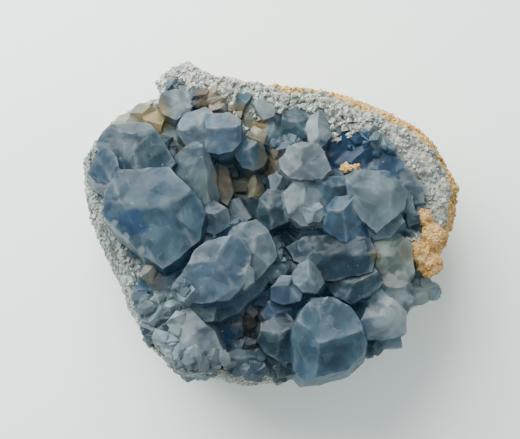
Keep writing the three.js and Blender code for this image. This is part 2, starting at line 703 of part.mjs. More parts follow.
// A closed skin over rings of points, each ring running the same way round.
// Every strip between two rings is split along its shorter diagonals.
function solidFromRings(rings) {
  const count = rings[0].length;
  const positions = [];
  const faces = [];
  for (const ring of rings) for (const p of ring) positions.push(...p);
  for (let r = 0; r + 1 < rings.length; r++) {
    for (let i = 0; i < count; i++) {
      const j = (i + 1) % count;
      const a = r * count + i;
      const b = r * count + j;
      const c = a + count;
      const d = b + count;
      if (span(rings[r][i], rings[r + 1][j]) < span(rings[r][j], rings[r + 1][i])) {
        faces.push(a, b, d, a, d, c);
      } else {
        faces.push(a, b, c, b, d, c);
      }
    }
  }
  for (const [ring, base, flip] of [
    [rings[0], 0, true],
    [rings.at(-1), (rings.length - 1) * count, false],
  ]) {
    const middle = positions.length / 3;
    const sum = ring.reduce((s, p) => [s[0] + p[0], s[1] + p[1], s[2] + p[2]], [0, 0, 0]);
    positions.push(...sum.map((v) => v / count));
    for (let i = 0; i < count; i++) {
      const j = (i + 1) % count;
      if (flip) faces.push(base + j, base + i, middle);
      else faces.push(base + i, base + j, middle);
    }
  }
  const geometry = new THREE.BufferGeometry();
  geometry.setAttribute("position", new THREE.Float32BufferAttribute(positions, 3));
  geometry.setIndex(faces);
  return solidOf(geometry);
}

// The wall: rings of points from its foot up over the crest and down into the bowl.
function wallRings() {
  const random = seeded(11);
  const jitter = (size) => (random() - 0.5) * 2 * size;
  const closed = (points) => new THREE.CatmullRomCurve3(points, true, "centripetal");
  const around = wallPlan.toReversed();
  const plan = closed(around.map(([x, y]) => new THREE.Vector3(x, y, 0)));
  const crest = closed(around.map(([, , width, height]) => new THREE.Vector3(width, height, 0)));
  const rings = {
    foot: [],
    heel: [],
    belly: [],
    widest: [],
    shoulder: [],
    crest: [],
    lip: [],
    bowlOuter: [],
    bowlMiddle: [],
    bowlInner: [],
  };
  for (let i = 0; i < steps; i++) {
    const out = plan.getPoint(i / steps);
    const { x: width, y: height } = crest.getPoint(i / steps);
    const radius = Math.hypot(out.x, out.y);
    const wave = ledge * (Math.sin(i * 0.9) + 0.7 * Math.sin(i * 2.3 + 1.2));
    const at = (distance, z, rough = 0.5) => {
      const share = (distance + jitter(rough)) / radius;
      return [out.x * share, out.y * share, z];
    };
    const rise = height - widestHeight;
    rings.foot.push(at(radius * 0.8 - 1, 0, 1.2));
    rings.heel.push(at(radius * 0.87 + wave, 3.2 + jitter(1.2), 1.2));
    rings.belly.push(at(radius * 0.95 - wave * 0.6, 10 + jitter(2), 1.2));
    rings.widest.push(at(radius - 0.3, widestHeight + jitter(1.5), 0.4));
    rings.shoulder.push(at(radius - width * 0.22, widestHeight + rise * 0.62 + jitter(0.8), 0.5));
    rings.crest.push(at(radius - width * 0.55, height - 0.6 + jitter(0.6), 0.5));
    rings.lip.push(at(radius - width, height - 0.8 + jitter(0.6), 0.5));
    const inner = radius - width;
    rings.bowlOuter.push(at(inner * 0.84, height - 6 + jitter(0.5)));
    rings.bowlMiddle.push(at(inner * 0.58, bowlDepthHeight + (height - bowlDepthHeight) * 0.35));
    rings.bowlInner.push(at(inner * 0.28, bowlDepthHeight + 1));
  }
  return rings;
}

const rings = wallRings();
const upperSkin = [
  rings.bowlInner,
  rings.bowlMiddle,
  rings.bowlOuter,
  rings.lip,
  rings.crest,
  rings.shoulder,
  rings.widest,
];

function wallBody() {
  const { foot, heel, belly } = rings;
  return solidFromRings([foot, heel, belly, ...upperSkin.toReversed()]);
}

// A blunt crystal grain of the wall: the hull of a few points round its middle.
function wallGrain(random, [x, y, z], size) {
  const corners = [];
  for (let i = 0; i < 9; i++) {
    const height = -1 + (2 * (i + 0.5)) / 9;
    const around = i * 2.4 + random() * 1.2;
    const reach = Math.sqrt(1 - height * height) * size;
    const corner = [x + Math.cos(around) * reach, y + Math.sin(around) * reach, z + height * size];
    corners.push(new THREE.Vector3(...corner));
  }
  return solidOf(new ConvexGeometry(corners));
}

// Grains along the crest and lumps on the broken sides, kept off whatever lies against the wall.
function wallGrains(occupied) {
  const random = seeded(301);
  const bands = [
    [rings.crest, rings.shoulder, crestGrains, 1.4, 1.2, 0.25],
    [rings.shoulder, rings.widest, sideLumps, 3.4, 3.2, 0.62],
    [rings.widest, rings.heel, sideLumps, 3.4, 3.4, 0.62],
  ];
  const grains = [];
  for (const [from, to, count, least, range, sunk] of bands) {
    for (let n = 0; n < count; n++) {
      const i = Math.floor(random() * steps);
      const mix = random();
      const size = least + random() * range;
      const onSkin = from[i].map((v, k) => v + (to[i][k] - v) * mix);
      const inward = 1 - (sunk * size) / Math.hypot(onSkin[0], onSkin[1]);
      const place = [onSkin[0] * inward, onSkin[1] * inward, onSkin[2] - 0.2 * size];
      const aboveBase = place[2] - size > 0.5;
      if (aboveBase && !occupied(place, size + 1.2)) grains.push(wallGrain(random, place, size));
    }
  }
  return grains;
}

// The wall's upper skin lifted clear of it, from the middle of the bowl outwards.
function liftedSkin(rings, lift) {
  return rings.map((ring, k) =>
    ring.map(([x, y, z]) => {
      const outward = k >= 4 ? lift / Math.hypot(x, y) : 0;
      return [x * (1 + outward), y * (1 + outward), z + lift * 1.4];
    }),
  );
}

// Everything over the wall's upper skin, lifted clear of it.
function spaceAboveWall(lift) {
  const skin = liftedSkin(upperSkin.slice(0, -1), lift);
  const skirt = skin.at(-1).map(([x, y, z]) => [x * 1.4, y * 1.4, z + skirtRise * Math.hypot(x, y)]);
  const lid = skirt.map(([x, y]) => [x, y, lidHeight]);
  return solidFromRings([...skin, skirt, lid]);
}

// Height of the layer of small grown-together crystals between the large ones.
function heapHeight(x, y, share, crestHeight) {
  const pit = Math.exp(-((x - pitPlace[0]) ** 2 + (y - pitPlace[1]) ** 2) / (2 * pitSize ** 2));
  const rustPit = Math.exp(-((x - rustPlace[0]) ** 2 + (y - rustPlace[1]) ** 2) / (2 * rustSize ** 2));
  const rim = crestHeight + heapRise * (1 - share);
  return rim + (heapMiddle - rim) * Math.min(1, 1.5 * (1 - share)) - pitDepth * pit - rustDepth * rustPit;
}

// The layer itself: over the bowl, thin at the lip and deep in the middle.
function heapLayer() {
  const random = seeded(23);
  const under = liftedSkin(upperSkin.slice(0, 4), clearance);
  const lipOver = under[3].map(([x, y, z]) => [x * 0.995, y * 0.995, z + 0.9]);
  const over = heapShares.map((share) =>
    lipOver.map(([x, y, z]) => {
      const reach = share + (random() - 0.5) * 0.07;
      const height = heapHeight(x * reach, y * reach, reach, z);
      return [x * reach, y * reach, height + (random() - 0.5) * heapRoughness];
    }),
  );
  return solidFromRings([...under, lipOver, ...over]);
}

// The crystals.
const radians = (degrees) => (degrees * Math.PI) / 180;

// The planes that bound a crystal, each as outward normal and a point on it.
function crystalPlanes({ peak, facets, outline }) {
  const area = outline.reduce((sum, [x, y], i) => {
    const [u, v] = outline[(i + 1) % outline.length];
    return sum + x * v - u * y;
  }, 0);
  const corners = area > 0 ? outline : outline.toReversed();
  const lean = radians(sideLean);
  const top = facets.map(([direction, slope, start = 0]) => {
    const a = radians(direction);
    const s = radians(slope);
    return {
      normal: [Math.sin(s) * Math.cos(a), Math.sin(s) * Math.sin(a), Math.cos(s)],
      point: [peak[0] + start * Math.cos(a), peak[1] + start * Math.sin(a), peak[2]],
    };
  });
  const sides = corners.map(([x, y], i) => {
    const [u, v] = corners[(i + 1) % corners.length];
    const length = Math.hypot(u - x, v - y);
    const nx = (v - y) / length;
    const ny = (x - u) / length;
    return {
      normal: [nx * Math.cos(lean), ny * Math.cos(lean), Math.sin(lean)],
      point: [x + nx * overgrowth, y + ny * overgrowth, peak[2] - 3],
    };
  });
  return [...top, ...sides];
}

// The convex solid inside a set of planes: its corners are where three planes meet.
function convexSolid(planes) {
  const walls = planes.map(({ normal, point }) =>
    new THREE.Plane().setFromNormalAndCoplanarPoint(
      new THREE.Vector3(...normal),
      new THREE.Vector3(...point),
    ),
  );
  const corners = [];
  const inside = (p) => walls.every((w) => w.distanceToPoint(p) < 1e-6);
  const isNew = (p) => corners.every((c) => c.distanceTo(p) > 0.02);
  for (let i = 0; i < walls.length; i++) {
    for (let j = i + 1; j < walls.length; j++) {
      for (let k = j + 1; k < walls.length; k++) {
        const matrix = new THREE.Matrix3().set(
          ...walls[i].normal.toArray(),
          ...walls[j].normal.toArray(),
          ...walls[k].normal.toArray(),
        );
        if (Math.abs(matrix.determinant()) < 1e-4) continue;
        const right = new THREE.Vector3(-walls[i].constant, -walls[j].constant, -walls[k].constant);
        const p = right.applyMatrix3(matrix.invert());
        if (inside(p) && isNew(p)) corners.push(p);
      }
    }
  }
  return solidOf(new ConvexGeometry(corners));
}

function crystalSolid(crystal) {
  const foot = { normal: [0, 0, -1], point: [0, 0, crystal.foot ?? rootHeight] };
  return convexSolid([...crystalPlanes(crystal), foot]);
}

const joined = (solids) => solids.reduce((whole, solid) => whole.add(solid));

// A small crystal of the same habit at a place, leaning a given way.
function smallCrystal(random, [x, y, z], size, depth) {
  const sides = 4 + Math.floor(random() * 2);
  const turn = random() * Math.PI;
  const stretch = 0.75 + random() * 0.4;
  const outline = [];
  for (let i = 0; i < sides; i++) {
    const a = turn + ((i + (random() - 0.5) * 0.4) / sides) * 2 * Math.PI;
    outline.push([x + Math.cos(a) * size * stretch, y + (Math.sin(a) * size) / stretch]);
  }
  const facing = random() * 360;
  const facets = [
    [facing, 14 + random() * 22],
    [facing + 150 + random() * 60, 14 + random() * 22],
  ];
  return { peak: [x, y, z], facets, outline, foot: z - depth };
}

const insideOutline = ([x, y], outline) =>
  outline.reduce((inside, [ax, ay], i) => {
    const [bx, by] = outline[(i + 1) % outline.length];
    const crosses = ay > y !== by > y && x < ((bx - ax) * (y - ay)) / (by - ay) + ax;
    return crosses ? !inside : inside;
  }, false);

// Small crystals on the layer wherever no large one stands.
function druse(large) {
  const random = seeded(71);
  const made = [];
  for (let n = 0; n < druseCount; n++) {
    const lip = upperSkin[3][Math.floor(random() * steps)];
    const share = 0.12 + 0.84 * Math.sqrt(random());
    const place = [lip[0] * share, lip[1] * share];
    const size = 1.5 + random() * 1.7;
    if (large.some(({ outline }) => insideOutline(place, outline))) continue;
    const height = heapHeight(...place, share, lip[2]) + 1 + random() * 2.4;
    made.push(smallCrystal(random, [...place, height], size, 5));
  }
  return made;
}

// Assembly of the pieces.
const space = spaceAboveWall(clearance);
const large = Object.values(crystals);
const named = [...large, ...druse(large)];
const heap = heapLayer();
const crystalMass = joined(named.map((c) => crystalSolid(c))).intersect(space).add(heap);

// Whether a ball at a place would touch the crystals that overhang the wall or the clay.
function occupied([x, y, z], reach) {
  const ring = [[x, y]];
  for (let a = 0; a < 2 * Math.PI; a += Math.PI / 4) {
    ring.push([x + Math.cos(a) * (reach + 1.5), y + Math.sin(a) * (reach + 1.5)]);
  }
  const underCrystal = z + reach > widestHeight + 4 && named.some(({ outline }) => {
    return ring.some((p) => insideOutline(p, outline));
  });
  const lumps = [...clayPatchLumps, ...clayCrumbLumps];
  const byClay = lumps.some(([u, v, , radius]) => Math.hypot(x - u, y - v) < radius * 1.1 + reach);
  return underCrystal || byClay;
}

// Cuts a solid back from its neighbour by the clearance on every side and above.
function clearOf(solid, neighbour) {
  const shape = geometryOf(neighbour);
  const shifts = [
    [clearance, 0, 0],
    [-clearance, 0, 0],
    [0, clearance, 0],
    [0, -clearance, 0],
    [0, 0, clearance],
    [0, 0, 0],
  ];
  return shifts.reduce((rest, shift) => {
    return rest.subtract(solidOf(shape.clone().translate(...shift)));
  }, solid);
}

function clayLump([x, y, z, radius, height], seed) {
  const random = seeded(seed);
  const shape = new THREE.IcosahedronGeometry(1, 1);
  const merged = mergeVertices(shape.deleteAttribute("normal").deleteAttribute("uv"), 1e-4);
  const p = merged.attributes.position;
  for (let i = 0; i < p.count; i++) {
    const k = 0.86 + random() * 0.22;
    p.setXYZ(i, x + p.getX(i) * radius * k, y + p.getY(i) * radius * k, z + p.getZ(i) * height * k);
  }
  return solidOf(merged);
}

function clay(lumps, seed) {
  const whole = joined(lumps.map((lump, i) => clayLump(lump, seed + i)));
  return clearOf(whole.intersect(space), crystalMass);
}

function mesh(name, solid, colour, roughness) {
  const made = new THREE.Mesh(
    geometryOf(solid),
    new THREE.MeshStandardMaterial({ color: colour, roughness, metalness: 0, flatShading: true }),
  );
  made.name = name;
  return made;
}

const cluster = new THREE.Group();
cluster.add(
  mesh("geode_wall", wallBody().add(joined(wallGrains(occupied))), 0xb9bbb4, 0.85),
  mesh("celestite_crystals", crystalMass, 0x6f8fa8, 0.25),
  mesh("clay_patch", clay(clayPatchLumps, claySeeds.patch), 0xc99a5b, 0.95),
  mesh("clay_crumb", clay(clayCrumbLumps, claySeeds.crumb), 0xcf9c55, 0.95),
);

// The origin goes to the middle of the base.
const middle = new THREE.Box3().setFromObject(cluster).getCenter(new THREE.Vector3());
for (const piece of cluster.children) piece.geometry.translate(-middle.x, -middle.y, 0);

export default cluster;
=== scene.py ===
# Celestite cluster: blue crystals on a broken piece of sugary geode wall.
import math
import random

import bmesh
import bpy
import numpy as np
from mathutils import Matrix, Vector, noise
from mathutils.bvhtree import BVHTree
from mathutils.kdtree import KDTree


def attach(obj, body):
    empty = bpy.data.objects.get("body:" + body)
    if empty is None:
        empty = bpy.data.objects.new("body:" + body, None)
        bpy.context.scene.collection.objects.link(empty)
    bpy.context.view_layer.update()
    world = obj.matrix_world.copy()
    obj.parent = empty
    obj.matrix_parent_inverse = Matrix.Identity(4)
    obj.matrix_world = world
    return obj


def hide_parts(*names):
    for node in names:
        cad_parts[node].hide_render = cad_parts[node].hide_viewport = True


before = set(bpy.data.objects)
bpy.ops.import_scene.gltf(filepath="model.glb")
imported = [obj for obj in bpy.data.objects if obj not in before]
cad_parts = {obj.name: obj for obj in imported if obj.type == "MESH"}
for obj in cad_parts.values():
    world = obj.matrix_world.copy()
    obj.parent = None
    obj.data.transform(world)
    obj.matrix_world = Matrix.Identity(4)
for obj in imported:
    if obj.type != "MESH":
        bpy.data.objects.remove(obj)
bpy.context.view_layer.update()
mm = 0.001
midShift = (-0.35, -2.97)  # where the middle of the plan went when the origin was set, in mm
print("frame loaded")


def linear(red, green, blue):
    # a screen colour of 0 to 255 as the linear one that shaders use
    def one(c):
        c /= 255
        return c / 12.92 if c <= 0.04045 else ((c + 0.055) / 1.055) ** 2.4
    return (one(red), one(green), one(blue), 1.0)


def smooth(low, high, value):
    share = min(1.0, max(0.0, (value - low) / (high - low)))
    return share * share * (3 - 2 * share)


# Stage: camera, light and floor.
stageLook = {
    "floorColor": linear(238, 250, 244),
    "floorRoughness": 0.8,
    "floorSize": 3.0,
    "lensMm": 72.0,
    "distance": 0.292,
    "elevation": 79.0,  # degrees above the floor
    "target": (-3.6, -2.1, 40.0),  # mm
    "keyPlace": (-0.2, 0.3, 0.27),
    "keyPower": 8.8,
    "keySize": 0.6,
    "keyColor": (1.0, 0.985, 0.96),
    "fillPlace": (0.5, -0.25, 0.55),
    "fillPower": 0.3,
    "fillSize": 0.6,
    "fillColor": (0.94, 0.97, 1.0),
    "lampAim": (0, 0, 0.02),
    "worldColor": (0.93, 0.97, 1.0, 1),
    "worldStrength": 0.87,
}


def addCamera():
    look = stageLook
    target = Vector([v * mm for v in look["target"]])
    el = math.radians(look["elevation"])
    place = target + Vector((0, -math.cos(el), math.sin(el))) * look["distance"]
    data = bpy.data.cameras.new("camera")
    data.lens = look["lensMm"]
    data.clip_start = 0.01
    camera = bpy.data.objects.new("camera", data)
    camera.location = place
    camera.rotation_euler = (target - place).to_track_quat("-Z", "Y").to_euler()
    bpy.context.scene.collection.objects.link(camera)
    bpy.context.scene.camera = camera


def addAreaLight(name):
    look = stageLook
    place = Vector(look[name + "Place"])
    data = bpy.data.lights.new(name, "AREA")
    data.shape = "DISK"
    data.size = look[name + "Size"]
    data.energy = look[name + "Power"]
    data.color = look[name + "Color"]
    lamp = bpy.data.objects.new(name, data)
    lamp.location = place
    lamp.rotation_euler = (Vector(look["lampAim"]) - place).to_track_quat("-Z", "Y").to_euler()
    bpy.context.scene.collection.objects.link(lamp)


def addStage():
    look = stageLook
    half = look["floorSize"] / 2
    mesh = bpy.data.meshes.new("floor")
    corners = [(-half, -half, 0), (half, -half, 0), (half, half, 0), (-half, half, 0)]
    mesh.from_pydata(corners, [], [(0, 1, 2, 3)])
    floor = bpy.data.objects.new("floor", mesh)
    bpy.context.scene.collection.objects.link(floor)
    material = bpy.data.materials.new("floor")
    material.use_nodes = True
    shader = material.node_tree.nodes["Principled BSDF"]
    shader.inputs["Base Color"].default_value = look["floorColor"]
    shader.inputs["Roughness"].default_value = look["floorRoughness"]
    mesh.materials.append(material)
    world = bpy.data.worlds.new("studio")
    world.use_nodes = True
    sky = world.node_tree.nodes["Background"]
    sky.inputs["Color"].default_value = look["worldColor"]
    sky.inputs["Strength"].default_value = look["worldStrength"]
    bpy.context.scene.world = world
    addAreaLight("key")
    addAreaLight("fill")


addCamera()
addStage()
print("stage set")


# Mesh helpers.
def meshObject(name, mesh):
    made = bpy.data.objects.new(name, mesh)
    bpy.context.scene.collection.objects.link(made)
    return made


def dropObject(obj):
    mesh = obj.data
    bpy.data.objects.remove(obj)
    bpy.data.meshes.remove(mesh)


def mergedCopy(node):
    # the CAD node's solid with its loose triangles joined
    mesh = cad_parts[node].data.copy()
    mesh.materials.clear()
    work = bmesh.new()
    work.from_mesh(mesh)
    bmesh.ops.remove_doubles(work, verts=work.verts, dist=2e-6)
    bmesh.ops.recalc_face_normals(work, faces=work.faces)
    return mesh, work


def evenMesh(node, voxel, name):
    # the CAD node's surface in even quads, which rounds every edge by about a voxel
    source, work = mergedCopy(node)
    work.to_mesh(source)
    work.free()
    holder = meshObject(name + "_work", source)
    remesh = holder.modifiers.new("even", "REMESH")
    remesh.mode = "VOXEL"
    remesh.voxel_size = voxel
    remesh.adaptivity = 0.0
    holder.update_tag()
    bpy.context.view_layer.update()
    shaped = holder.evaluated_get(bpy.context.evaluated_depsgraph_get())
    mesh = bpy.data.meshes.new_from_object(shaped)
    mesh.name = name
    dropObject(holder)
    return mesh


def coords(mesh):
    flat = np.empty(len(mesh.vertices) * 3, dtype=np.float32)
    mesh.vertices.foreach_get("co", flat)
    return flat.reshape(-1, 3)


def normals(mesh):
    flat = np.empty(len(mesh.vertices) * 3, dtype=np.float32)
    mesh.vertex_normals.foreach_get("vector", flat)
    return flat.reshape(-1, 3)


def setCoords(mesh, places):
    mesh.vertices.foreach_set("co", places.astype(np.float32).ravel())
    mesh.update()


def storeValues(mesh, name, values):
    layer = mesh.attributes.new(name, "FLOAT", "POINT")
    layer.data.foreach_set("value", np.asarray(values, dtype=np.float32))


def storeColors(mesh, name, colors):
    layer = mesh.attributes.new(name, "FLOAT_COLOR", "POINT")
    full = np.ones((len(colors), 4), dtype=np.float32)
    full[:, :3] = colors
    layer.data.foreach_set("color", full.ravel())


def lightUp(mesh, name, least):
    # squeezes a stored value of 0 to 1 into the range above the least one
    layer = mesh.attributes[name]
    values = np.empty(len(layer.data), dtype=np.float32)
    layer.data.foreach_get("value", values)
    layer.data.foreach_set("value", least + (1 - least) * values)


def shadeSmooth(mesh, on=True):
    mesh.polygons.foreach_set("use_smooth", [on] * len(mesh.polygons))


# Node helpers.
def addNode(tree, kind, **values):
    node = tree.nodes.new(kind)
    for name, value in values.items():
        setattr(node, name, value)
    return node


def plug(tree, source, target):
    tree.links.new(source, target)


def setInput(tree, socket, value):
    if isinstance(value, bpy.types.NodeSocket):
        tree.links.new(value, socket)
    else:
        socket.default_value = value


def mathNode(tree, operation, first, second=0.0):
    node = addNode(tree, "ShaderNodeMath", operation=operation)
    setInput(tree, node.inputs[0], first)
    setInput(tree, node.inputs[1], second)
    return node.outputs[0]


def rangeNode(tree, value, fromLow, fromHigh, toLow=0.0, toHigh=1.0):
    node = addNode(tree, "ShaderNodeMapRange")
    node.interpolation_type = "SMOOTHSTEP"
    for socket, number in zip(node.inputs, (value, fromLow, fromHigh, toLow, toHigh)):
        setInput(tree, socket, number)
    return node.outputs[0]


def mixColor(tree, factor, first, second):
    node = addNode(tree, "ShaderNodeMix", data_type="RGBA")
    setInput(tree, node.inputs[0], factor)
    setInput(tree, node.inputs[6], first)
    setInput(tree, node.inputs[7], second)
    return node.outputs[2]


def noiseNode(tree, coordinate, scale, detail=3.0, roughness=0.55, distortion=0.0):
    node = addNode(tree, "ShaderNodeTexNoise")
    plug(tree, coordinate, node.inputs["Vector"])
    node.inputs["Scale"].default_value = scale
    node.inputs["Detail"].default_value = detail
    node.inputs["Roughness"].default_value = roughness
    node.inputs["Distortion"].default_value = distortion
    return node.outputs["Fac"]


def attributeNode(tree, name):
    return addNode(tree, "ShaderNodeAttribute", attribute_name=name)


def newMaterial(name):
    material = bpy.data.materials.new(name)
    material.use_nodes = True
    tree = material.node_tree
    shader = tree.nodes["Principled BSDF"]
    place = addNode(tree, "ShaderNodeTexCoord").outputs["Object"]
    return material, tree, shader, place


def newGroup(name, inputs, outputs):
    group = bpy.data.node_groups.new(name, "ShaderNodeTree")
    for label, kind, value in inputs:
        socket = group.interface.new_socket(label, in_out="INPUT", socket_type=kind)
        if value is not None:
            socket.default_value = value
    for label, kind in outputs:
        group.interface.new_socket(label, in_out="OUTPUT", socket_type=kind)
    return group, addNode(group, "NodeGroupInput"), addNode(group, "NodeGroupOutput")


def useGroup(tree, group, **values):
    node = addNode(tree, "ShaderNodeGroup", node_tree=group)
    for label, value in values.items():
        setInput(tree, node.inputs[label], value)
    return node


# Sugary grain: a speckle of light and dark grains, partly grain tone and partly painted glints on their
# facets, and the height that goes with it.
def makeGrainGroup():
    group, start, end = newGroup(
        "sugaryGrain",
        [
            ("Vector", "NodeSocketVector", None),
            ("Scale", "NodeSocketFloat", 900.0),
            ("Sparkle", "NodeSocketFloat", 0.5),
        ],
        [("Tone", "NodeSocketFloat"), ("Height", "NodeSocketFloat")],
    )
    cells = addNode(group, "ShaderNodeTexVoronoi")
    plug(group, start.outputs["Vector"], cells.inputs["Vector"])
    plug(group, start.outputs["Scale"], cells.inputs["Scale"])
    fine = addNode(group, "ShaderNodeTexNoise")
    plug(group, start.outputs["Vector"], fine.inputs["Vector"])
    plug(group, mathNode(group, "MULTIPLY", start.outputs["Scale"], 0.35), fine.inputs["Scale"])
    separate = addNode(group, "ShaderNodeSeparateColor")
    plug(group, cells.outputs["Color"], separate.inputs[0])
    speckle = mathNode(group, "MULTIPLY", separate.outputs[0], start.outputs["Sparkle"])
    tone = mathNode(group, "ADD", speckle, mathNode(group, "MULTIPLY", fine.outputs["Fac"], 0.5))
    plug(group, tone, end.inputs["Tone"])
    raised = mathNode(group, "MULTIPLY", separate.outputs[1], 0.6)
    height = mathNode(group, "SUBTRACT", raised, cells.outputs["Distance"])
    plug(group, height, end.inputs["Height"])
    return group


# Stain: how much of a stain lies round a place, broken up by noise.
def makeStainGroup():
    group, start, end = newGroup(
        "stain",
        [
            ("Vector", "NodeSocketVector", None),
            ("Centre", "NodeSocketVector", None),
            ("Radius", "NodeSocketFloat", 0.005),
            ("Grain", "NodeSocketFloat", 400.0),
        ],
        [("Amount", "NodeSocketFloat")],
    )
    away = addNode(group, "ShaderNodeVectorMath", operation="SUBTRACT")
    plug(group, start.outputs["Vector"], away.inputs[0])
    plug(group, start.outputs["Centre"], away.inputs[1])
    flat = addNode(group, "ShaderNodeVectorMath", operation="MULTIPLY")
    plug(group, away.outputs["Vector"], flat.inputs[0])
    flat.inputs[1].default_value = (1, 1, 0.15)  # a stain runs down far deeper than it is wide
    gap = addNode(group, "ShaderNodeVectorMath", operation="LENGTH")
    plug(group, flat.outputs["Vector"], gap.inputs[0])
    share = mathNode(group, "DIVIDE", gap.outputs["Value"], start.outputs["Radius"])
    speck = addNode(group, "ShaderNodeTexNoise")
    plug(group, start.outputs["Vector"], speck.inputs["Vector"])
    plug(group, start.outputs["Grain"], speck.inputs["Scale"])
    speck.inputs["Detail"].default_value = 4.0
    uneven = mathNode(group, "SUBTRACT", speck.outputs["Fac"], 0.5)
    worn = mathNode(group, "ADD", share, mathNode(group, "MULTIPLY", uneven, 1.8))
    plug(group, rangeNode(group, worn, 1.0, 0.55), end.inputs["Amount"])
    return group


# Cleavage: plates of slightly different height and the thin broken lines between them.
def makeCrackGroup():
    group, start, end = newGroup(
        "cleavage",
        [
            ("Vector", "NodeSocketVector", None),
            ("Scale", "NodeSocketFloat", 200.0),
            ("Width", "NodeSocketFloat", 0.03),
        ],
        [("Line", "NodeSocketFloat"), ("Plate", "NodeSocketFloat")],
    )
    bend = addNode(group, "ShaderNodeTexNoise")
    plug(group, start.outputs["Vector"], bend.inputs["Vector"])
    plug(group, start.outputs["Scale"], bend.inputs["Scale"])
    bend.inputs["Detail"].default_value = 3.0
    spread = addNode(group, "ShaderNodeVectorMath", operation="MULTIPLY_ADD")
    plug(group, bend.outputs["Color"], spread.inputs[0])
    spread.inputs[1].default_value = (2.5 * mm, 2.5 * mm, 2.5 * mm)
    plug(group, start.outputs["Vector"], spread.inputs[2])
    cells = addNode(group, "ShaderNodeTexVoronoi")
    borders = addNode(group, "ShaderNodeTexVoronoi", feature="DISTANCE_TO_EDGE")
    for node in (cells, borders):
        plug(group, spread.outputs["Vector"], node.inputs["Vector"])
        plug(group, start.outputs["Scale"], node.inputs["Scale"])
    near = mathNode(group, "DIVIDE", borders.outputs["Distance"], start.outputs["Width"])
    plug(group, rangeNode(group, near, 1.0, 0.3), end.inputs["Line"])
    separate = addNode(group, "ShaderNodeSeparateColor")
    plug(group, cells.outputs["Color"], separate.inputs[0])
    plug(group, separate.outputs[0], end.inputs["Plate"])
    return group


crackGroup = makeCrackGroup()
grainGroup = makeGrainGroup()
stainGroup = makeStainGroup()


def addStains(tree, place, color, marks):
    # lays stains over a colour, each one: x, y in mm as in the plan, radius in mm, tone, strength
    for x, y, radius, tone, strength in marks:
        centre = ((x + midShift[0]) * mm, (y + midShift[1]) * mm, 0.04)
        amount = useGroup(tree, stainGroup, Vector=place, Centre=centre, Radius=radius * mm)
        share = mathNode(tree, "MULTIPLY", amount.outputs[0], strength)
        color = mixColor(tree, share, color, linear(*tone))
    return color


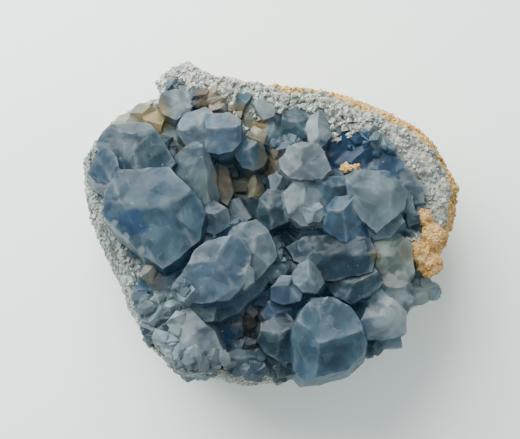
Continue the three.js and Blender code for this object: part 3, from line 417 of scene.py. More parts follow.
# Geometry nodes that strew faceted grains over a surface where its mask attribute allows.
def makeStrewTree():
    tree = bpy.data.node_groups.new("strewGrains", "GeometryNodeTree")
    for label, kind, value in (
        ("Geometry", "NodeSocketGeometry", None),
        ("Grain", "NodeSocketObject", None),
        ("Density", "NodeSocketFloat", 1e5),
        ("Least", "NodeSocketFloat", 0.001),
        ("Most", "NodeSocketFloat", 0.002),
        ("Lean", "NodeSocketFloat", 0.6),
        ("Sink", "NodeSocketFloat", 0.0),
        ("Seed", "NodeSocketInt", 1),
        ("Skew", "NodeSocketFloat", 1.6),
        ("Mask", "NodeSocketString", "grainMask"),
        ("Material", "NodeSocketMaterial", None),
    ):
        socket = tree.interface.new_socket(label, in_out="INPUT", socket_type=kind)
        if value is not None:
            socket.default_value = value
    tree.interface.new_socket("Geometry", in_out="OUTPUT", socket_type="NodeSocketGeometry")
    start, end = addNode(tree, "NodeGroupInput"), addNode(tree, "NodeGroupOutput")
    mask = addNode(tree, "GeometryNodeInputNamedAttribute", data_type="FLOAT")
    plug(tree, start.outputs["Mask"], mask.inputs["Name"])
    points = addNode(tree, "GeometryNodeDistributePointsOnFaces")
    plug(tree, start.outputs["Geometry"], points.inputs["Mesh"])
    density = addNode(tree, "ShaderNodeMath", operation="MULTIPLY")
    plug(tree, start.outputs["Density"], density.inputs[0])
    plug(tree, mask.outputs["Attribute"], density.inputs[1])
    plug(tree, density.outputs[0], points.inputs["Density"])
    plug(tree, start.outputs["Seed"], points.inputs["Seed"])
    chance = addNode(tree, "FunctionNodeRandomValue", data_type="FLOAT")
    plug(tree, start.outputs["Seed"], chance.inputs["Seed"])
    skewed = addNode(tree, "ShaderNodeMath", operation="POWER")
    plug(tree, chance.outputs[1], skewed.inputs[0])
    plug(tree, start.outputs["Skew"], skewed.inputs[1])
    size = addNode(tree, "ShaderNodeMapRange")
    plug(tree, skewed.outputs[0], size.inputs[0])
    plug(tree, start.outputs["Least"], size.inputs[3])
    plug(tree, start.outputs["Most"], size.inputs[4])
    turn = addNode(tree, "FunctionNodeRandomValue", data_type="FLOAT_VECTOR")
    low = addNode(tree, "ShaderNodeCombineXYZ")
    high = addNode(tree, "ShaderNodeCombineXYZ")
    minus = addNode(tree, "ShaderNodeMath", operation="MULTIPLY")
    plug(tree, start.outputs["Lean"], minus.inputs[0])
    minus.inputs[1].default_value = -1.0
    for socket in (0, 1):
        plug(tree, minus.outputs[0], low.inputs[socket])
        plug(tree, start.outputs["Lean"], high.inputs[socket])
    high.inputs[2].default_value = math.tau
    plug(tree, low.outputs[0], turn.inputs[0])
    plug(tree, high.outputs[0], turn.inputs[1])
    plug(tree, start.outputs["Seed"], turn.inputs["Seed"])
    instances = addNode(tree, "GeometryNodeInstanceOnPoints")
    plug(tree, points.outputs["Points"], instances.inputs["Points"])
    plug(tree, points.outputs["Rotation"], instances.inputs["Rotation"])
    shape = addNode(tree, "GeometryNodeObjectInfo")
    plug(tree, start.outputs["Grain"], shape.inputs["Object"])
    plug(tree, shape.outputs["Geometry"], instances.inputs["Instance"])
    plug(tree, size.outputs[0], instances.inputs["Scale"])
    lower = addNode(tree, "GeometryNodeTranslateInstances")
    plug(tree, instances.outputs[0], lower.inputs["Instances"])
    drop = addNode(tree, "ShaderNodeCombineXYZ")
    plug(tree, start.outputs["Sink"], drop.inputs[2])
    plug(tree, drop.outputs[0], lower.inputs["Translation"])
    leaning = addNode(tree, "GeometryNodeRotateInstances")
    plug(tree, lower.outputs[0], leaning.inputs["Instances"])
    toRotation = addNode(tree, "FunctionNodeEulerToRotation")
    plug(tree, turn.outputs[0], toRotation.inputs[0])
    plug(tree, toRotation.outputs[0], leaning.inputs["Rotation"])
    real = addNode(tree, "GeometryNodeRealizeInstances")
    plug(tree, leaning.outputs[0], real.inputs[0])
    paint = addNode(tree, "GeometryNodeSetMaterial")
    plug(tree, real.outputs[0], paint.inputs[0])
    plug(tree, start.outputs["Material"], paint.inputs["Material"])
    plug(tree, paint.outputs[0], end.inputs[0])
    return tree


strewTree = makeStrewTree()


def hullShape(name, points):
    work = bmesh.new()
    for point in points:
        work.verts.new(point)
    bmesh.ops.convex_hull(work, input=work.verts)
    bmesh.ops.delete(work, geom=[v for v in work.verts if not v.link_faces], context="VERTS")
    bmesh.ops.recalc_face_normals(work, faces=work.faces)
    mesh = bpy.data.meshes.new(name)
    work.to_mesh(mesh)
    work.free()
    return meshObject(name, mesh)


def grainShape(name, seed):
    # a blunt grain of few faces, one unit across
    draw = random.Random(seed)
    points = []
    for level, reach in ((-0.45, 0.42), (0.18, 0.5), (0.5, 0.2)):
        turn = draw.uniform(0, math.tau)
        for k in range(3):
            angle = turn + math.tau * (k + draw.uniform(-0.15, 0.15)) / 3
            height = level + draw.uniform(-0.08, 0.08)
            points.append((math.cos(angle) * reach, math.sin(angle) * reach, height))
    return hullShape(name, points)


def blockShape(name, seed):
    # a small blocky crystal with a roof of two or three faces
    draw = random.Random(seed)
    sides = draw.choice((4, 5, 5, 6))
    turn = draw.uniform(0, math.tau)
    stretch = draw.uniform(0.75, 1.3)
    points = []
    for level, reach in ((-0.8, 0.5), (0.08, 0.46)):
        for k in range(sides):
            angle = turn + math.tau * (k + draw.uniform(-0.12, 0.12)) / sides
            lift = draw.uniform(0, 0.14) if level > 0 else 0
            x, y = math.cos(angle) * reach * stretch, math.sin(angle) * reach / stretch
            points.append((x, y, level + lift))
    for k in (-1, 1):
        points.append((0.2 * k * stretch, draw.uniform(-0.12, 0.12), draw.uniform(0.24, 0.36)))
    return hullShape(name, points)


def strew(host, name, values, material, seeds, makeShape=grainShape):
    # strews several grain shapes over the host and returns them as one plain mesh
    parts = []
    for seed in seeds:
        shape = makeShape(name + "_shape", seed)
        carrier = meshObject(name + "_carrier", host.data.copy())
        carrier.data.materials.clear()
        modifier = carrier.modifiers.new("strew", "NODES")
        modifier.node_group = strewTree
        full = dict(values, Grain=shape, Seed=seed, Material=material)
        for item in strewTree.interface.items_tree:
            if item.in_out == "INPUT" and item.name in full:
                modifier[item.identifier] = full[item.name]
        bpy.context.view_layer.update()
        shaped = carrier.evaluated_get(bpy.context.evaluated_depsgraph_get())
        parts.append(bpy.data.meshes.new_from_object(shaped))
        carrier.modifiers.remove(modifier)
        dropObject(carrier)
        dropObject(shape)
    work = bmesh.new()
    for part in parts:
        work.from_mesh(part)
    mesh = parts[0]
    work.to_mesh(mesh)
    work.free()
    for part in parts[1:]:
        bpy.data.meshes.remove(part)
    mesh.name = name
    shadeSmooth(mesh, False)
    print(name + ":", len(mesh.polygons), "faces")
    return meshObject(name, mesh)


# The large crystals.
crystalLook = {
    "facetEdge": 0.85 * mm,  # longest edge of the surface's triangles
    "warp": 0.62 * mm,  # how far outlines and faces wander
    "warpSize": 5 * mm,
    "fineWarp": 0.2 * mm,
    "fineWarpSize": 1.7 * mm,
    "plateSize": 4.2 * mm,  # stepped plates that large faces are made of
    "plateStep": 0.05 * mm,
    "plateTilt": 0.03,
    "plateContrast": 0.16,
    "edgeReach": 0.55 * mm,
    "edgeStep": 0.45 * mm,
    "creaseAngle": 15.0,  # edges sharper than this get a painted highlight
    "shadeAngle": 13.0,  # edges sharper than this are drawn sharp
    "facetContrast": 0.1,
    "toneContrast": 0.08,
    "smallArea": 30 * mm * mm,  # a crystal below this, or far from any place listed, is small growth
    "near": 2.5,  # mm from a crystal's top to its listed place
    "far": 5.5,
    "widest": 20,
    "smallTones": ("steel", "slate", "grey", "teal", "blue"),
    "outerTones": ("grey", "milk", "steel"),
    "outerInset": 9,
    "pitTones": ("navy", "brown", "slate", "navy"),
    "pit": (-9, 10, 9),  # the dark hollow: x, y, reach in mm
    "gapTones": ("steel", "slate", "grey", "teal", "blue", "navy", "milk", "lavender", "steel"),
    "gapCell": 3.4 * mm,
    "gapShare": 0.7,
    "fringeArc": (-158, -150, -90, -84),  # pale edge at the lower left: degrees, ends are soft
    "fringeInset": (4.5, 7),
    "fringeShare": 0.4,
    "rimArc": (-24, -12, 120, 132),  # sugary inner rim of the wall
    "rimInset": (13, 17),
    "rimGap": (3.5, 19.8),
    "rimGapReach": (4.5, 6.5),
    "transmission": 0.72,
    "ior": 1.33,
    "specular": 0.06,
    "absorption": (0.3, 0.64, 0.8, 1),
    "density": 62.0,
    "roughness": (0.28, 0.5),
    "relief": 0.28,
    "reliefDepth": 0.4 * mm,
    "cloudScale": 95.0,
    "veilScale": 330.0,
    "partScale": 250.0,
    "plateScale": 230.0,
    "crackScale": 130.0,
    "sparkScale": 1500.0,
    "zoneColor": linear(52, 94, 130),
    "veilColor": linear(136, 172, 186),
    "lightPlate": linear(150, 178, 188),
    "darkPlate": linear(40, 72, 96),
    "crackAndRidgeHighlightColor": linear(204, 220, 224),
    # painted recess tone for places that see little sky
    "paintedRecessColor": linear(112, 134, 140),
    "paintedGlintColor": linear(206, 214, 214),
    "seed": 5,
}
tones = {
    "milk": (186, 203, 206),
    "lavender": (108, 138, 160),
    "grey": (144, 168, 174),
    "steel": (92, 127, 145),
    "teal": (42, 72, 82),
    "slate": (72, 104, 116),
    "blue": (78, 117, 146),
    "navy": (38, 72, 100),
    "moss": (184, 198, 176),
    "cream": (210, 202, 162),
    "brown": (184, 172, 138),
    "sugar": (176, 186, 182),
}
# Where the top of each crystal lies, by tone: x, y in mm as in the plan of the cluster.
crystalPlaces = {
    "steel": (
        (-33, 6.9), (-30, -3.1), (-7.6, -19.7), (0.8, 27.5), (-6.4, 20.7), (29.7, 22.1), (16.8, 8.8),
        (13.4, -32.6), (-4, 7.5),
    ),
    "blue": (
        (-40, 1.9), (-46, 20.9), (35.8, 16), (19.9, 2), (9.2, -22.5), (-34.8, -19.1),
    ),
    "slate": (
        (-38, 18.9), (7.3, 28.3), (12.3, -3.3), (23.2, -17.3), (-9.4, 13.3), (2.6, 11.3), (25.6, -22.9),
        (-8.2, 34.3), (-37.8, -7.7),
    ),
    "lavender": (
        (-46.5, 13.9), (-14, 25.9), (-16, -13.1), (4.2, -18.5), (1.4, -25.1),
    ),
    "grey": (
        (-21, 25.9), (-23, 14.9), (-4.8, -8.1), (-7.6, -16.1), (9, 5.5), (11.2, 1.4), (28, 7.3),
        (9.8, -15.7), (-9.2, -37.4), (4.1, -38.9), (-28, -23.9), (-18.4, -24.3), (-28.6, -15.7),
        (-16, 1.7), (33, -31.4), (30.6, -0.9),
    ),
    "navy": (
        (-17, 10.9), (14.2, -0.5), (21.3, 21.3), (38.9, 11.3), (-1.4, -20.5), (-29.6, -28.9),
        (-12.6, -28.5), (-12, -33.4), (-10.2, 0.1), (4.2, -3.7), (40.6, 6.7),
    ),
    "teal": (
        (0.8, 3.9), (18.2, -9.5), (2.5, -31.1), (-2.6, -37.4), (-7.4, -33.6), (-16.6, -4.1),
        (38.2, -2.1),
    ),
    "milk": (
        (8.1, 15.9), (13.4, 26.3), (39.4, 14), (-21.6, -31.9), (-9.8, 5.1), (34.7, -19.3), (42, -18.1),
        (31.1, -25.7), (-26.9, 34.3), (-1.8, 32.3), (29.6, 14.5), (37.6, 6.9),
    ),
    "brown": (
        (-14.6, 12.3), (-4.2, 11.9), (0.4, 18.5),
    ),
    "moss": (
        (33.3, -10.3), (26.4, -31.9), (-28.8, 24.9), (-5, 28.7), (7, 22.1), (16.6, 17.9),
    ),
    "cream": (
        (-37, 32.5), (-42, 29.3), (-33.6, 29.5), (-4.2, 24.9), (-34.2, -13.9),
    ),
}
# Stains, deep and pale zones, and painted light on one pale crystal: x, y, radius in mm, tone, strength.
crystalMarks = [
    (22, 20.5, 8, (36, 80, 118), 0.9),
    (33, 16.5, 6, (44, 88, 126), 0.85),
    (39.5, 9, 3.5, (60, 94, 118), 0.6),
    (-34, 31, 5.5, (184, 164, 112), 0.8),
    (-16, 35.5, 6, (168, 150, 116), 0.75),
    (-9.5, 31, 4, (166, 150, 116), 0.6),
    (-3.4, 27.5, 2.6, (190, 160, 112), 0.8),
    (-7.5, 11.5, 5, (176, 168, 132), 0.6),
    (-14.6, 12.3, 2.6, (160, 152, 124), 0.7),
    (-0.5, 17.5, 4.5, (140, 134, 104), 0.6),
    (-5.6, -27.6, 4.2, (170, 158, 138), 0.5),
    # a near-black patch between the front crystals
    (-5, -34, 2.6, (24, 30, 36), 0.7),
    (-31.9, -16.6, 2.2, (136, 126, 132), 0.7),
    (28.4, -10, 2, (138, 128, 84), 0.7),
    (36, -9.5, 3, (126, 124, 100), 0.5),
    (-25.5, 20.5, 3, (92, 92, 76), 0.6),
    (-38, -1.5, 5, (40, 88, 134), 0.7),
    (-46.3, 3.5, 1.7, (206, 218, 220), 0.6),
    (-43.2, -1.4, 1.7, (206, 218, 220), 0.65),
    (-39.6, -4.8, 1.6, (206, 218, 220), 0.6),
    (-35.6, -8.4, 1.6, (206, 218, 220), 0.55),
    # a pale crystal, painted paler still to lift the shade that falls on it there
    (34, -19.2, 6, (232, 240, 234), 0.9),
    (43, -18.6, 4, (196, 208, 200), 0.6),
    (-31, 13.6, 2.6, (60, 96, 128), 0.6),
]


def faceGroups(work, joins):
    # numbers the groups of faces that hang together over the edges that join them
    work.faces.ensure_lookup_table()
    number = [-1] * len(work.faces)
    groups = []
    for face in work.faces:
        if number[face.index] >= 0:
            continue
        number[face.index] = len(groups)
        members, waiting = [], [face]
        while waiting:
            current = waiting.pop()
            members.append(current)
            for edge in current.edges:
                if len(edge.link_faces) != 2 or not joins(edge):
                    continue
                for other in edge.link_faces:
                    if number[other.index] < 0:
                        number[other.index] = len(groups)
                        waiting.append(other)
        groups.append(members)
    return number, groups


def sameCrystal(edge):
    # single crystals meet in valleys, and their undersides lie in one surface
    hanging = min(face.normal.z for face in edge.link_faces) < -0.25
    return not hanging and edge.calc_face_angle_signed(0.0) > -math.radians(2.5)


def sameFacet(edge):
    return abs(edge.calc_face_angle_signed(0.0)) < math.radians(3)


def openness(spots, outward, finder, count=10):
    # share of the sky that each place sees, from 0 to 1
    golden = math.pi * (3 - math.sqrt(5))
    rays = []
    for i in range(count):
        up = 0.15 + 0.8 * (i + 0.5) / count
        side = math.sqrt(1 - up * up)
        rays.append(Vector((math.cos(i * golden) * side, math.sin(i * golden) * side, up)))
    seen = np.zeros(len(spots))
    for i, spot in enumerate(spots):
        start = Vector(spot) + Vector(outward[i]) * 0.25 * mm
        seen[i] = sum(finder.ray_cast(start, ray, 30 * mm)[0] is None for ray in rays) / count
    return seen


def outlineReach(mesh, bins=72):
    # how far the piece reaches from its middle in each direction, in mm
    places = coords(mesh) / mm
    radius = np.hypot(places[:, 0], places[:, 1])
    turn = (np.degrees(np.arctan2(places[:, 1], places[:, 0])) + 360) % 360
    sector = (turn / 360 * bins).astype(int) % bins
    reach = np.zeros(bins)
    np.maximum.at(reach, sector, radius)
    return (np.roll(reach, 1) + reach + np.roll(reach, -1)) / 3


def insetAt(reach, x, y):
    # how far inside the outline a place lies, in mm
    turn = (math.degrees(math.atan2(y, x)) + 360) % 360 / 360 * len(reach) - 0.5
    low = math.floor(turn)
    mix = turn - low
    edge = reach[low % len(reach)] * (1 - mix) + reach[(low + 1) % len(reach)] * mix
    return edge - math.hypot(x, y)


def islandTone(members, draw, reach):
    # the tone of a crystal, and whether it is part of the small growth between the large ones
    look = crystalLook
    weight, centre, area = 0.0, Vector((0, 0, 0)), 0.0
    for face in members:
        size = face.calc_area()
        area += size
        up = max(0.0, face.normal.z) * size
        weight += up
        centre += face.calc_center_median() * up
    if weight > 0:
        centre /= weight
    x = centre.x / mm - midShift[0]
    y = centre.y / mm - midShift[1]
    gap, name = min(
        (math.hypot(x - u, y - v), tone) for tone, places in crystalPlaces.items() for u, v in places
    )
    spread = max((face.calc_center_median() - centre).xy.length for face in members) / mm
    small = area < look["smallArea"] and gap > look["near"] or gap > look["far"] or spread > look["widest"]
    if small:
        name = draw.choice(look["smallTones"])
        if insetAt(reach, centre.x / mm, centre.y / mm) < look["outerInset"]:
            name = draw.choice(look["outerTones"])
        pitX, pitY, pitReach = look["pit"]
        if math.hypot(x - pitX, y - pitY) < pitReach:
            name = draw.choice(look["pitTones"])
    red, green, blue, _ = linear(*tones[name])
    light = 1 + draw.uniform(-look["toneContrast"], look["toneContrast"])
    return (red * light, green * light, blue * light), small


def ridgePoints(work):
    # places close together along every edge that stands out sharply enough to get a painted highlight
    look = crystalLook
    points = []
    for edge in work.edges:
        if len(edge.link_faces) != 2:
            continue
        if edge.calc_face_angle_signed(0.0) < math.radians(look["creaseAngle"]):
            continue
        a, b = edge.verts[0].co, edge.verts[1].co
        count = max(1, int((b - a).length / look["edgeStep"]))
        points += [a.lerp(b, (i + 0.5) / count) for i in range(count)]
    tree = KDTree(len(points))
    for i, point in enumerate(points):
        tree.insert(point, i)
    tree.balance()
    return tree


def plateAt(spot, size):
    # how far a place lies from the middle of its plate, and three numbers of 0 to 1 for that plate
    bent = spot / size + 0.35 * noise.noise_vector(spot / (0.5 * size))
    centre = noise.voronoi(bent)[1][0]
    values = [noise.cell(centre * 31.7 + Vector((k * 13.1, 0, 0))) for k in range(3)]
    return bent - centre, values


def refine(work, longest, rounds=6, mostFaces=120000):
    # splits long edges until they are short, which keeps flat faces flat and edges where they are
    for _ in range(rounds):
        long = [edge for edge in work.edges if edge.calc_length() > longest]
        if not long or len(work.faces) > mostFaces:
            break
        bmesh.ops.subdivide_edges(work, edges=long, cuts=1, use_grid_fill=False)
        bmesh.ops.triangulate(work, faces=[f for f in work.faces if len(f.verts) > 3])
        print("refined to", len(work.faces), "faces")


def withinArc(angle, arc):
    # 1 inside an arc of directions and 0 outside it, with soft ends
    return smooth(arc[0], arc[1], angle) * (1 - smooth(arc[2], arc[3], angle))


def growCrystals():
    look = crystalLook
    draw = random.Random(look["seed"])
    noise.seed_set(look["seed"])
    reach = outlineReach(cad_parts["geode_wall"].data)
    mesh, work = mergedCopy("celestite_crystals")
    work.normal_update()
    island, groups = faceGroups(work, sameCrystal)
    facet, facets = faceGroups(work, sameFacet)
    finish = [islandTone(members, draw, reach) for members in groups]
    facetLight = [1 + look["facetContrast"] * draw.uniform(-1, 1) for _ in facets]
    finder = BVHTree.FromBMesh(work)
    ridges = ridgePoints(work)
    refine(work, look["facetEdge"])
    work.to_mesh(mesh)
    work.free()
    mesh.name = "celestite_crystals_grown"
    places, outward = coords(mesh), normals(mesh)
    count = len(places)
    tint = np.zeros((count, 3))
    ridge, druse, sugar = np.zeros(count), np.zeros(count), np.zeros(count)
    # how much sky each place sees; it sets the painted recess tone and dims the painted edge highlights
    seen = openness(places, outward, finder)
    color = {name: np.array(linear(*tone)[:3]) for name, tone in tones.items()}
    fringeTone = 0.4 * color["milk"] + 0.6 * color["grey"]
    gapTones = [color[name] for name in look["gapTones"]]
    moved = places.copy()
    for i in range(count):
        spot = Vector(places[i])
        inward = spot - Vector(outward[i]) * 0.02 * mm
        face = finder.find_nearest(inward)[2]
        tone, small = finish[island[face]]
        x, y = spot.x / mm, spot.y / mm
        angle = math.degrees(math.atan2(y, x))
        inset = insetAt(reach, x, y)
        fringe = withinArc(angle, look["fringeArc"]) * (1 - smooth(*look["fringeInset"], inset))
        # nearness to a sharp edge, which carries the painted edge highlight
        ridge[i] = math.exp(-(ridges.find(spot)[2] / look["edgeReach"]) ** 2)
        tint[i] = [value * facetLight[facet[face]] for value in tone]
        if small and outward[i][2] > 0.1:
            rim = withinArc(angle, look["rimArc"]) * (1 - smooth(*look["rimInset"], inset))
            rim *= smooth(*look["rimGapReach"], math.hypot(x - look["rimGap"][0], y - look["rimGap"][1]))
            sugar[i] = 1.0 if rim > 0.8 else 0.0
            druse[i] = 1.0 - sugar[i]
            cell = gapTones[int(noise.cell(spot / look["gapCell"]) * 997) % len(gapTones)]
            mixed = (1 - look["gapShare"]) * tint[i] + look["gapShare"] * cell
            tint[i] = mixed * (1 - rim) + color["sugar"] * rim
        if fringe > 0:
            share = look["fringeShare"] * fringe
            tint[i] = tint[i] * (1 - share) + fringeTone * share
            druse[i] = max(druse[i], fringe) if outward[i][2] > -0.1 else 0.0
        shove = noise.noise_vector(spot / look["warpSize"]) * look["warp"]
        shove += noise.noise_vector(spot / look["fineWarpSize"]) * look["fineWarp"]
        away, (lift, turn, shade) = plateAt(spot, look["plateSize"])
        slope = away.x * math.cos(turn * math.tau) + away.y * math.sin(turn * math.tau)
        step = look["plateStep"] * (lift - 0.75) + look["plateTilt"] * look["plateSize"] * slope
        tint[i] = tint[i] * (1 + look["plateContrast"] * (2 * shade - 1))
        moved[i] = spot + shove + Vector(outward[i]) * step
    setCoords(mesh, moved)
    storeColors(mesh, "tint", tint)
    for name, values in (
        ("ridge", ridge),
        ("seen", seen),
        ("paleAndShade", np.full(count, 0.5)),
        ("skin", np.zeros(count)),
        ("druseMask", druse),
        ("grainMask", sugar),
    ):
        storeValues(mesh, name, values)
    shadeSmooth(mesh)
    mesh.set_sharp_from_angle(angle=math.radians(look["shadeAngle"]))
    print("crystals grown:", count, "points,", len(mesh.polygons), "faces,", len(groups), "crystals")
    return meshObject("celestite_crystals_grown", mesh)


def crystalMaterial():
    look = crystalLook
    material, tree, shader, place = newMaterial("crystal")
    tint = attributeNode(tree, "tint").outputs["Color"]
    ridge = attributeNode(tree, "ridge").outputs["Fac"]
    seen = attributeNode(tree, "seen").outputs["Fac"]
    cloud = noiseNode(tree, place, look["cloudScale"], 4.0, 0.6, 0.5)
    veil = noiseNode(tree, place, look["veilScale"], 4.0, 0.6, 0.4)
    part = noiseNode(tree, place, look["partScale"], 2.0)
    plates = useGroup(tree, crackGroup, Vector=place, Scale=look["plateScale"], Width=0.03).outputs["Plate"]
    crack = useGroup(tree, crackGroup, Vector=place, Scale=look["crackScale"], Width=0.035)
    spark = useGroup(tree, grainGroup, Vector=place, Scale=look["sparkScale"], Sparkle=0.5)

    color = mixColor(tree, rangeNode(tree, cloud, 0.42, 0.68, 0.0, 0.45), tint, look["zoneColor"])
    color = mixColor(tree, rangeNode(tree, veil, 0.48, 0.8, 0.0, 0.2), color, look["veilColor"])
    color = mixColor(tree, rangeNode(tree, plates, 0.5, 0.95, 0.0, 0.2), color, look["lightPlate"])
    color = mixColor(tree, rangeNode(tree, plates, 0.5, 0.05, 0.0, 0.28), color, look["darkPlate"])
    # painted highlight along sharp edges, broken up by noise and dimmer where little sky is seen; the real
    # cleavage cracks share its pale colour
    patchyRidgeHighlight = mathNode(tree, "MULTIPLY", ridge, rangeNode(tree, part, 0.4, 0.64, 0.08, 0.6))
    lit = mathNode(tree, "MULTIPLY", patchyRidgeHighlight, rangeNode(tree, seen, 0.3, 0.8, 0.0, 0.6))
    line = mathNode(tree, "MULTIPLY", crack.outputs["Line"], rangeNode(tree, part, 0.5, 0.66, 0.0, 0.2))
    color = mixColor(tree, mathNode(tree, "MAXIMUM", lit, line), color, look["crackAndRidgeHighlightColor"])
    # painted shade in recesses: places that see little sky are pulled toward one grey-blue
    color = mixColor(tree, rangeNode(tree, seen, 0.38, 0.0, 0.0, 0.7), color, look["paintedRecessColor"])
    color = addStains(tree, place, color, crystalMarks)
    # painted glints: the brightest speckles turn near white
    speck = rangeNode(tree, spark.outputs["Tone"], 0.79, 0.82, 0.0, 0.45)
    color = mixColor(tree, speck, color, look["paintedGlintColor"])
    plug(tree, color, shader.inputs["Base Color"])

    plug(tree, rangeNode(tree, veil, 0.35, 0.75, *look["roughness"]), shader.inputs["Roughness"])
    bump = addNode(tree, "ShaderNodeBump")
    bump.inputs["Strength"].default_value = look["relief"]
    bump.inputs["Distance"].default_value = look["reliefDepth"]
    height = mathNode(tree, "ADD", veil, mathNode(tree, "MULTIPLY", spark.outputs["Height"], 0.1))
    height = mathNode(tree, "ADD", height, mathNode(tree, "MULTIPLY", crack.outputs["Plate"], 0.9))
    plug(tree, height, bump.inputs["Height"])
    plug(tree, bump.outputs["Normal"], shader.inputs["Normal"])
    shader.inputs["Specular IOR Level"].default_value = look["specular"]
    shader.inputs["Transmission Weight"].default_value = look["transmission"]
    shader.inputs["IOR"].default_value = look["ior"]
    absorb = addNode(tree, "ShaderNodeVolumeAbsorption")
    absorb.inputs["Color"].default_value = look["absorption"]
    absorb.inputs["Density"].default_value = look["density"]
    plug(tree, absorb.outputs[0], tree.nodes["Material Output"].inputs["Volume"])
    return material


crystalFinish = crystalMaterial()
crystals = growCrystals()
crystals.data.materials.append(crystalFinish)
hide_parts("celestite_crystals")
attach(crystals, "root")


# The wall.
wallLook = {
    "voxel": 0.95 * mm,
    "sink": 0.55 * mm,  # the wall lies this much inside its solid, and its grains stand out again
    "lumps": 1.0 * mm,
    "lumpSize": 3.4 * mm,
    "grainSize": (0.75 * mm, 2.1 * mm),
    "grainDensity": 0.85e6,  # grains on a square metre
    "innerMost": 2.8 * mm,  # the largest grain on the inner rim
    "innerDensity": 1.7,  # how much closer the grains of the inner rim stand
    "bareInset": 19,  # mm from the outline, past which the crystals hide the wall
    "shade": (195, 45, 0.45),  # painted shade that greys the left side: direction, spread in degrees, depth
    "deepColor": linear(92, 104, 104),
    "bodyColors": (linear(104, 115, 110), linear(152, 157, 142)),
    "lightColors": (linear(150, 160, 156), linear(186, 190, 178)),
    "ochreColors": (linear(150, 118, 66), linear(196, 166, 104)),
}
# Ochre skin on the back and right of the wall. Directions in degrees, lengths in mm.
skinLook = {
    "arc": (-4, 6, 84, 96),
    "arcBelow": (-20, -14, 26, 26),  # how much further it reaches low on the wall
    "below": (38, 30),  # heights between which it begins to reach further
    "gap": (9, 4.0, 0.8),  # where it is thin on the crest: direction, spread, depth
    "width": 4.6,
    "wider": ((55, 8, 2.2), (37, 10, 3.2)),  # direction, spread, extra width
}


def skinAmount(x, y, z, up, inset):
    # how much skin a place has: on the outer side and over the outer edge of the crest
    look = skinLook
    spot = Vector((x, y, z))
    rough = noise.noise(spot / 6.0) * 1.6 + noise.noise(spot / 1.7) * 0.9
    below = smooth(*look["below"], z)
    angle = math.degrees(math.atan2(y, x))
    angle += below * (14 * noise.noise(spot / 11.0) + 7 * noise.noise(spot / 3.5))
    side = withinArc(angle, [end + more * below for end, more in zip(look["arc"], look["arcBelow"])])
    at, spread, depth = look["gap"]
    gap = 1 - depth * math.exp(-((angle - at) / spread) ** 2) * (1 - below)
    wide = look["width"]
    for at, spread, more in look["wider"]:
        wide += more * math.exp(-((angle - at) / spread) ** 2)
    crest = smooth(wide + 1.2, wide - 1.2, inset + rough)
    return side * gap * max(crest, smooth(0.35, 0.0, up + 0.2 * rough))


def makeWall():
    look = wallLook
    mesh = evenMesh("geode_wall", look["voxel"], "geode_wall_sugary")
    places, outward = coords(mesh), normals(mesh)
    reach = outlineReach(mesh)
    count = len(places)
    skin, paleAndShade, bare = np.zeros(count), np.zeros(count), np.ones(count)
    for i in range(count):
        spot = Vector(places[i])
        lump = noise.noise(spot / look["lumpSize"]) + 0.5 * noise.noise(spot / (0.45 * look["lumpSize"]))
        level = smooth(0.2 * mm, 2.5 * mm, spot.z)
        push = (look["lumps"] * 0.45 * (lump - 0.4) - look["sink"]) * level
        x, y, z = (v / mm for v in spot)
        inset = insetAt(reach, x, y)
        skin[i] = skinAmount(x, y, z, outward[i][2], inset)
        if z < 1.5 or (inset > look["bareInset"] and outward[i][2] > 0):
            bare[i] = 0.0
        # painted shade: the left side of the wall is made greyer
        at, spread, depth = look["shade"]
        angle = math.degrees(math.atan2(y, x)) % 360
        paleAndShade[i] = 0.5 + 0.5 * noise.noise(spot / (6 * mm) + Vector((9, 0, 0)))
        paleAndShade[i] -= depth * math.exp(-((angle - at) / spread) ** 2)
        places[i] += outward[i] * push
        places[i][2] = max(0.0, places[i][2])
    setCoords(mesh, places)
    storeValues(mesh, "skin", skin)
    storeValues(mesh, "paleAndShade", paleAndShade)
    storeValues(mesh, "grainMask", bare)
    shadeSmooth(mesh)
    print("wall made:", count, "points")
    return meshObject("geode_wall_sugary", mesh)


def wallMaterial(name, facets):
    look = wallLook
    material, tree, shader, place = newMaterial(name)
    skin = attributeNode(tree, "skin").outputs["Fac"]
    paleAndShade = attributeNode(tree, "paleAndShade").outputs["Fac"]
    grainNode = useGroup(tree, grainGroup, Vector=place, Scale=850.0, Sparkle=0.7)
    tone = grainNode.outputs["Tone"]
    # this value holds random paleness and the painted shade of the left side
    body = mixColor(tree, rangeNode(tree, paleAndShade, 0.3, 0.75), *look["bodyColors"])
    light = mixColor(tree, rangeNode(tree, paleAndShade, 0.05, 0.5), *look["lightColors"])
    deep = mixColor(tree, 0.4, body, look["deepColor"])
    body = mixColor(tree, rangeNode(tree, tone, 0.2, 0.9, 0.0, 0.6), deep, light)
    ochre = mixColor(tree, rangeNode(tree, tone, 0.2, 0.85), *look["ochreColors"])
    cover = rangeNode(tree, mathNode(tree, "ADD", skin, mathNode(tree, "MULTIPLY", tone, 0.25)), 0.3, 0.62)
    plug(tree, mixColor(tree, cover, body, ochre), shader.inputs["Base Color"])
    plug(tree, rangeNode(tree, cover, 0.0, 1.0, 0.42, 0.85), shader.inputs["Roughness"])
    bump = addNode(tree, "ShaderNodeBump")
    bump.inputs["Strength"].default_value = facets
    bump.inputs["Distance"].default_value = 0.5 * mm
    plug(tree, grainNode.outputs["Height"], bump.inputs["Height"])
    plug(tree, bump.outputs["Normal"], shader.inputs["Normal"])
    shader.inputs["IOR"].default_value = 1.6
    shader.inputs["Subsurface Weight"].default_value = 0.25
    shader.inputs["Subsurface Scale"].default_value = 1.2 * mm
    return material


wall = makeWall()
wall.data.materials.append(wallMaterial("wall", 0.7))
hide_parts("geode_wall")
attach(wall, "root")

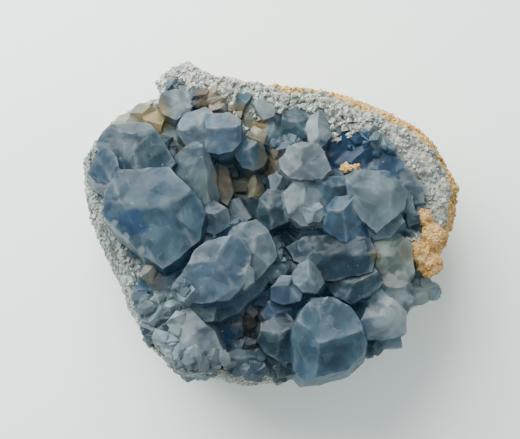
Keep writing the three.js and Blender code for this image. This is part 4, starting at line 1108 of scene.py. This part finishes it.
grainValues = {
    "Density": wallLook["grainDensity"] / 3,  # three shapes share it
    "Least": wallLook["grainSize"][0],
    "Most": wallLook["grainSize"][1],
    "Lean": 0.7,
    "Skew": 2.0,
    "Sink": -0.3 * mm,
}
grainFinish = wallMaterial("wallGrain", 0.15)
innerValues = dict(grainValues, Most=wallLook["innerMost"], Sink=0.0)
innerValues["Density"] *= wallLook["innerDensity"]
for host, name, values, seeds in (
    (wall, "wall_grains", grainValues, (101, 102, 103)),
    (crystals, "inner_wall_grains", innerValues, (104, 105, 106)),
):
    grains = strew(host, name, values, grainFinish, seeds)
    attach(grains, "root")


# Small crystals in the gaps between the large ones.
druseLook = {
    "size": (1.6 * mm, 5.4 * mm),
    "density": 0.42e6,  # crystals on a square metre
    "lean": 0.5,
    "skew": 1.7,  # above 1 the small ones are more common
    "leastSeen": 0.45,  # they stand out of the gaps, so the painted shade of the gaps never reaches them
}
druseValues = {
    "Density": druseLook["density"] / 3,
    "Least": druseLook["size"][0],
    "Most": druseLook["size"][1],
    "Lean": druseLook["lean"],
    "Skew": druseLook["skew"],
    "Sink": 0.4 * mm,
    "Mask": "druseMask",
}
druse = strew(crystals, "small_crystals", druseValues, crystalFinish, (31, 32, 33), blockShape)
lightUp(druse.data, "seen", druseLook["leastSeen"])
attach(druse, "root")


# Clay.
clayLook = {
    "voxel": 0.4 * mm,
    "lumps": 1.0 * mm,
    "lumpSize": 2.4 * mm,
    "pits": 0.9 * mm,
    "pitSize": 1.3 * mm,
    "grainSize": (0.35 * mm, 1.1 * mm),
    "grainDensity": 2.6e6,
    "colors": (linear(190, 150, 84), linear(218, 190, 134)),
    "deepColor": linear(140, 98, 52),
    "patchHeight": 0.74,  # share of the solid's height
    "crumbHeight": 0.9,
}


def clayMaterial():
    look = clayLook
    material, tree, shader, place = newMaterial("clay")
    grainNode = useGroup(tree, grainGroup, Vector=place, Scale=1300.0, Sparkle=0.8)
    patch = noiseNode(tree, place, 260.0, 4.0, 0.6)
    base = mixColor(tree, rangeNode(tree, patch, 0.35, 0.7), *look["colors"])
    tone = rangeNode(tree, grainNode.outputs["Tone"], 0.15, 0.9)
    deep = mixColor(tree, 0.5, base, look["deepColor"])
    plug(tree, mixColor(tree, tone, deep, base), shader.inputs["Base Color"])
    shader.inputs["Roughness"].default_value = 0.92
    bump = addNode(tree, "ShaderNodeBump")
    bump.inputs["Strength"].default_value = 0.7
    bump.inputs["Distance"].default_value = 0.4 * mm
    plug(tree, grainNode.outputs["Height"], bump.inputs["Height"])
    plug(tree, bump.outputs["Normal"], shader.inputs["Normal"])
    return material


def makeClay(node, name, material, height):
    look = clayLook
    mesh = evenMesh(node, look["voxel"], name)
    places, outward = coords(mesh), normals(mesh)
    low = places[:, 2].min()
    for i in range(len(places)):
        spot = Vector(places[i])
        lump = noise.noise(spot / look["lumpSize"]) + 0.5 * noise.noise(spot / (0.35 * look["lumpSize"]))
        pit = max(0.0, noise.noise(spot / look["pitSize"] + Vector((4, 4, 4))) - 0.15)
        places[i] += outward[i] * (look["lumps"] * (lump - 0.35) * 0.6 - look["pits"] * pit * 1.6)
        places[i][2] = low + (places[i][2] - low) * height
    setCoords(mesh, places)
    storeValues(mesh, "grainMask", np.ones(len(places)))
    shadeSmooth(mesh)
    body = meshObject(name, mesh)
    mesh.materials.append(material)
    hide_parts(node)
    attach(body, "root")
    values = {
        "Density": look["grainDensity"] / 2,
        "Least": look["grainSize"][0],
        "Most": look["grainSize"][1],
        "Lean": 1.2,
        "Sink": 0.0,
    }
    grains = strew(body, name + "_grains", values, material, (211, 212))
    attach(grains, "root")


clayFinish = clayMaterial()
makeClay("clay_patch", "clay_patch_rough", clayFinish, clayLook["patchHeight"])
makeClay("clay_crumb", "clay_crumb_rough", clayFinish, clayLook["crumbHeight"])
print("clay made")
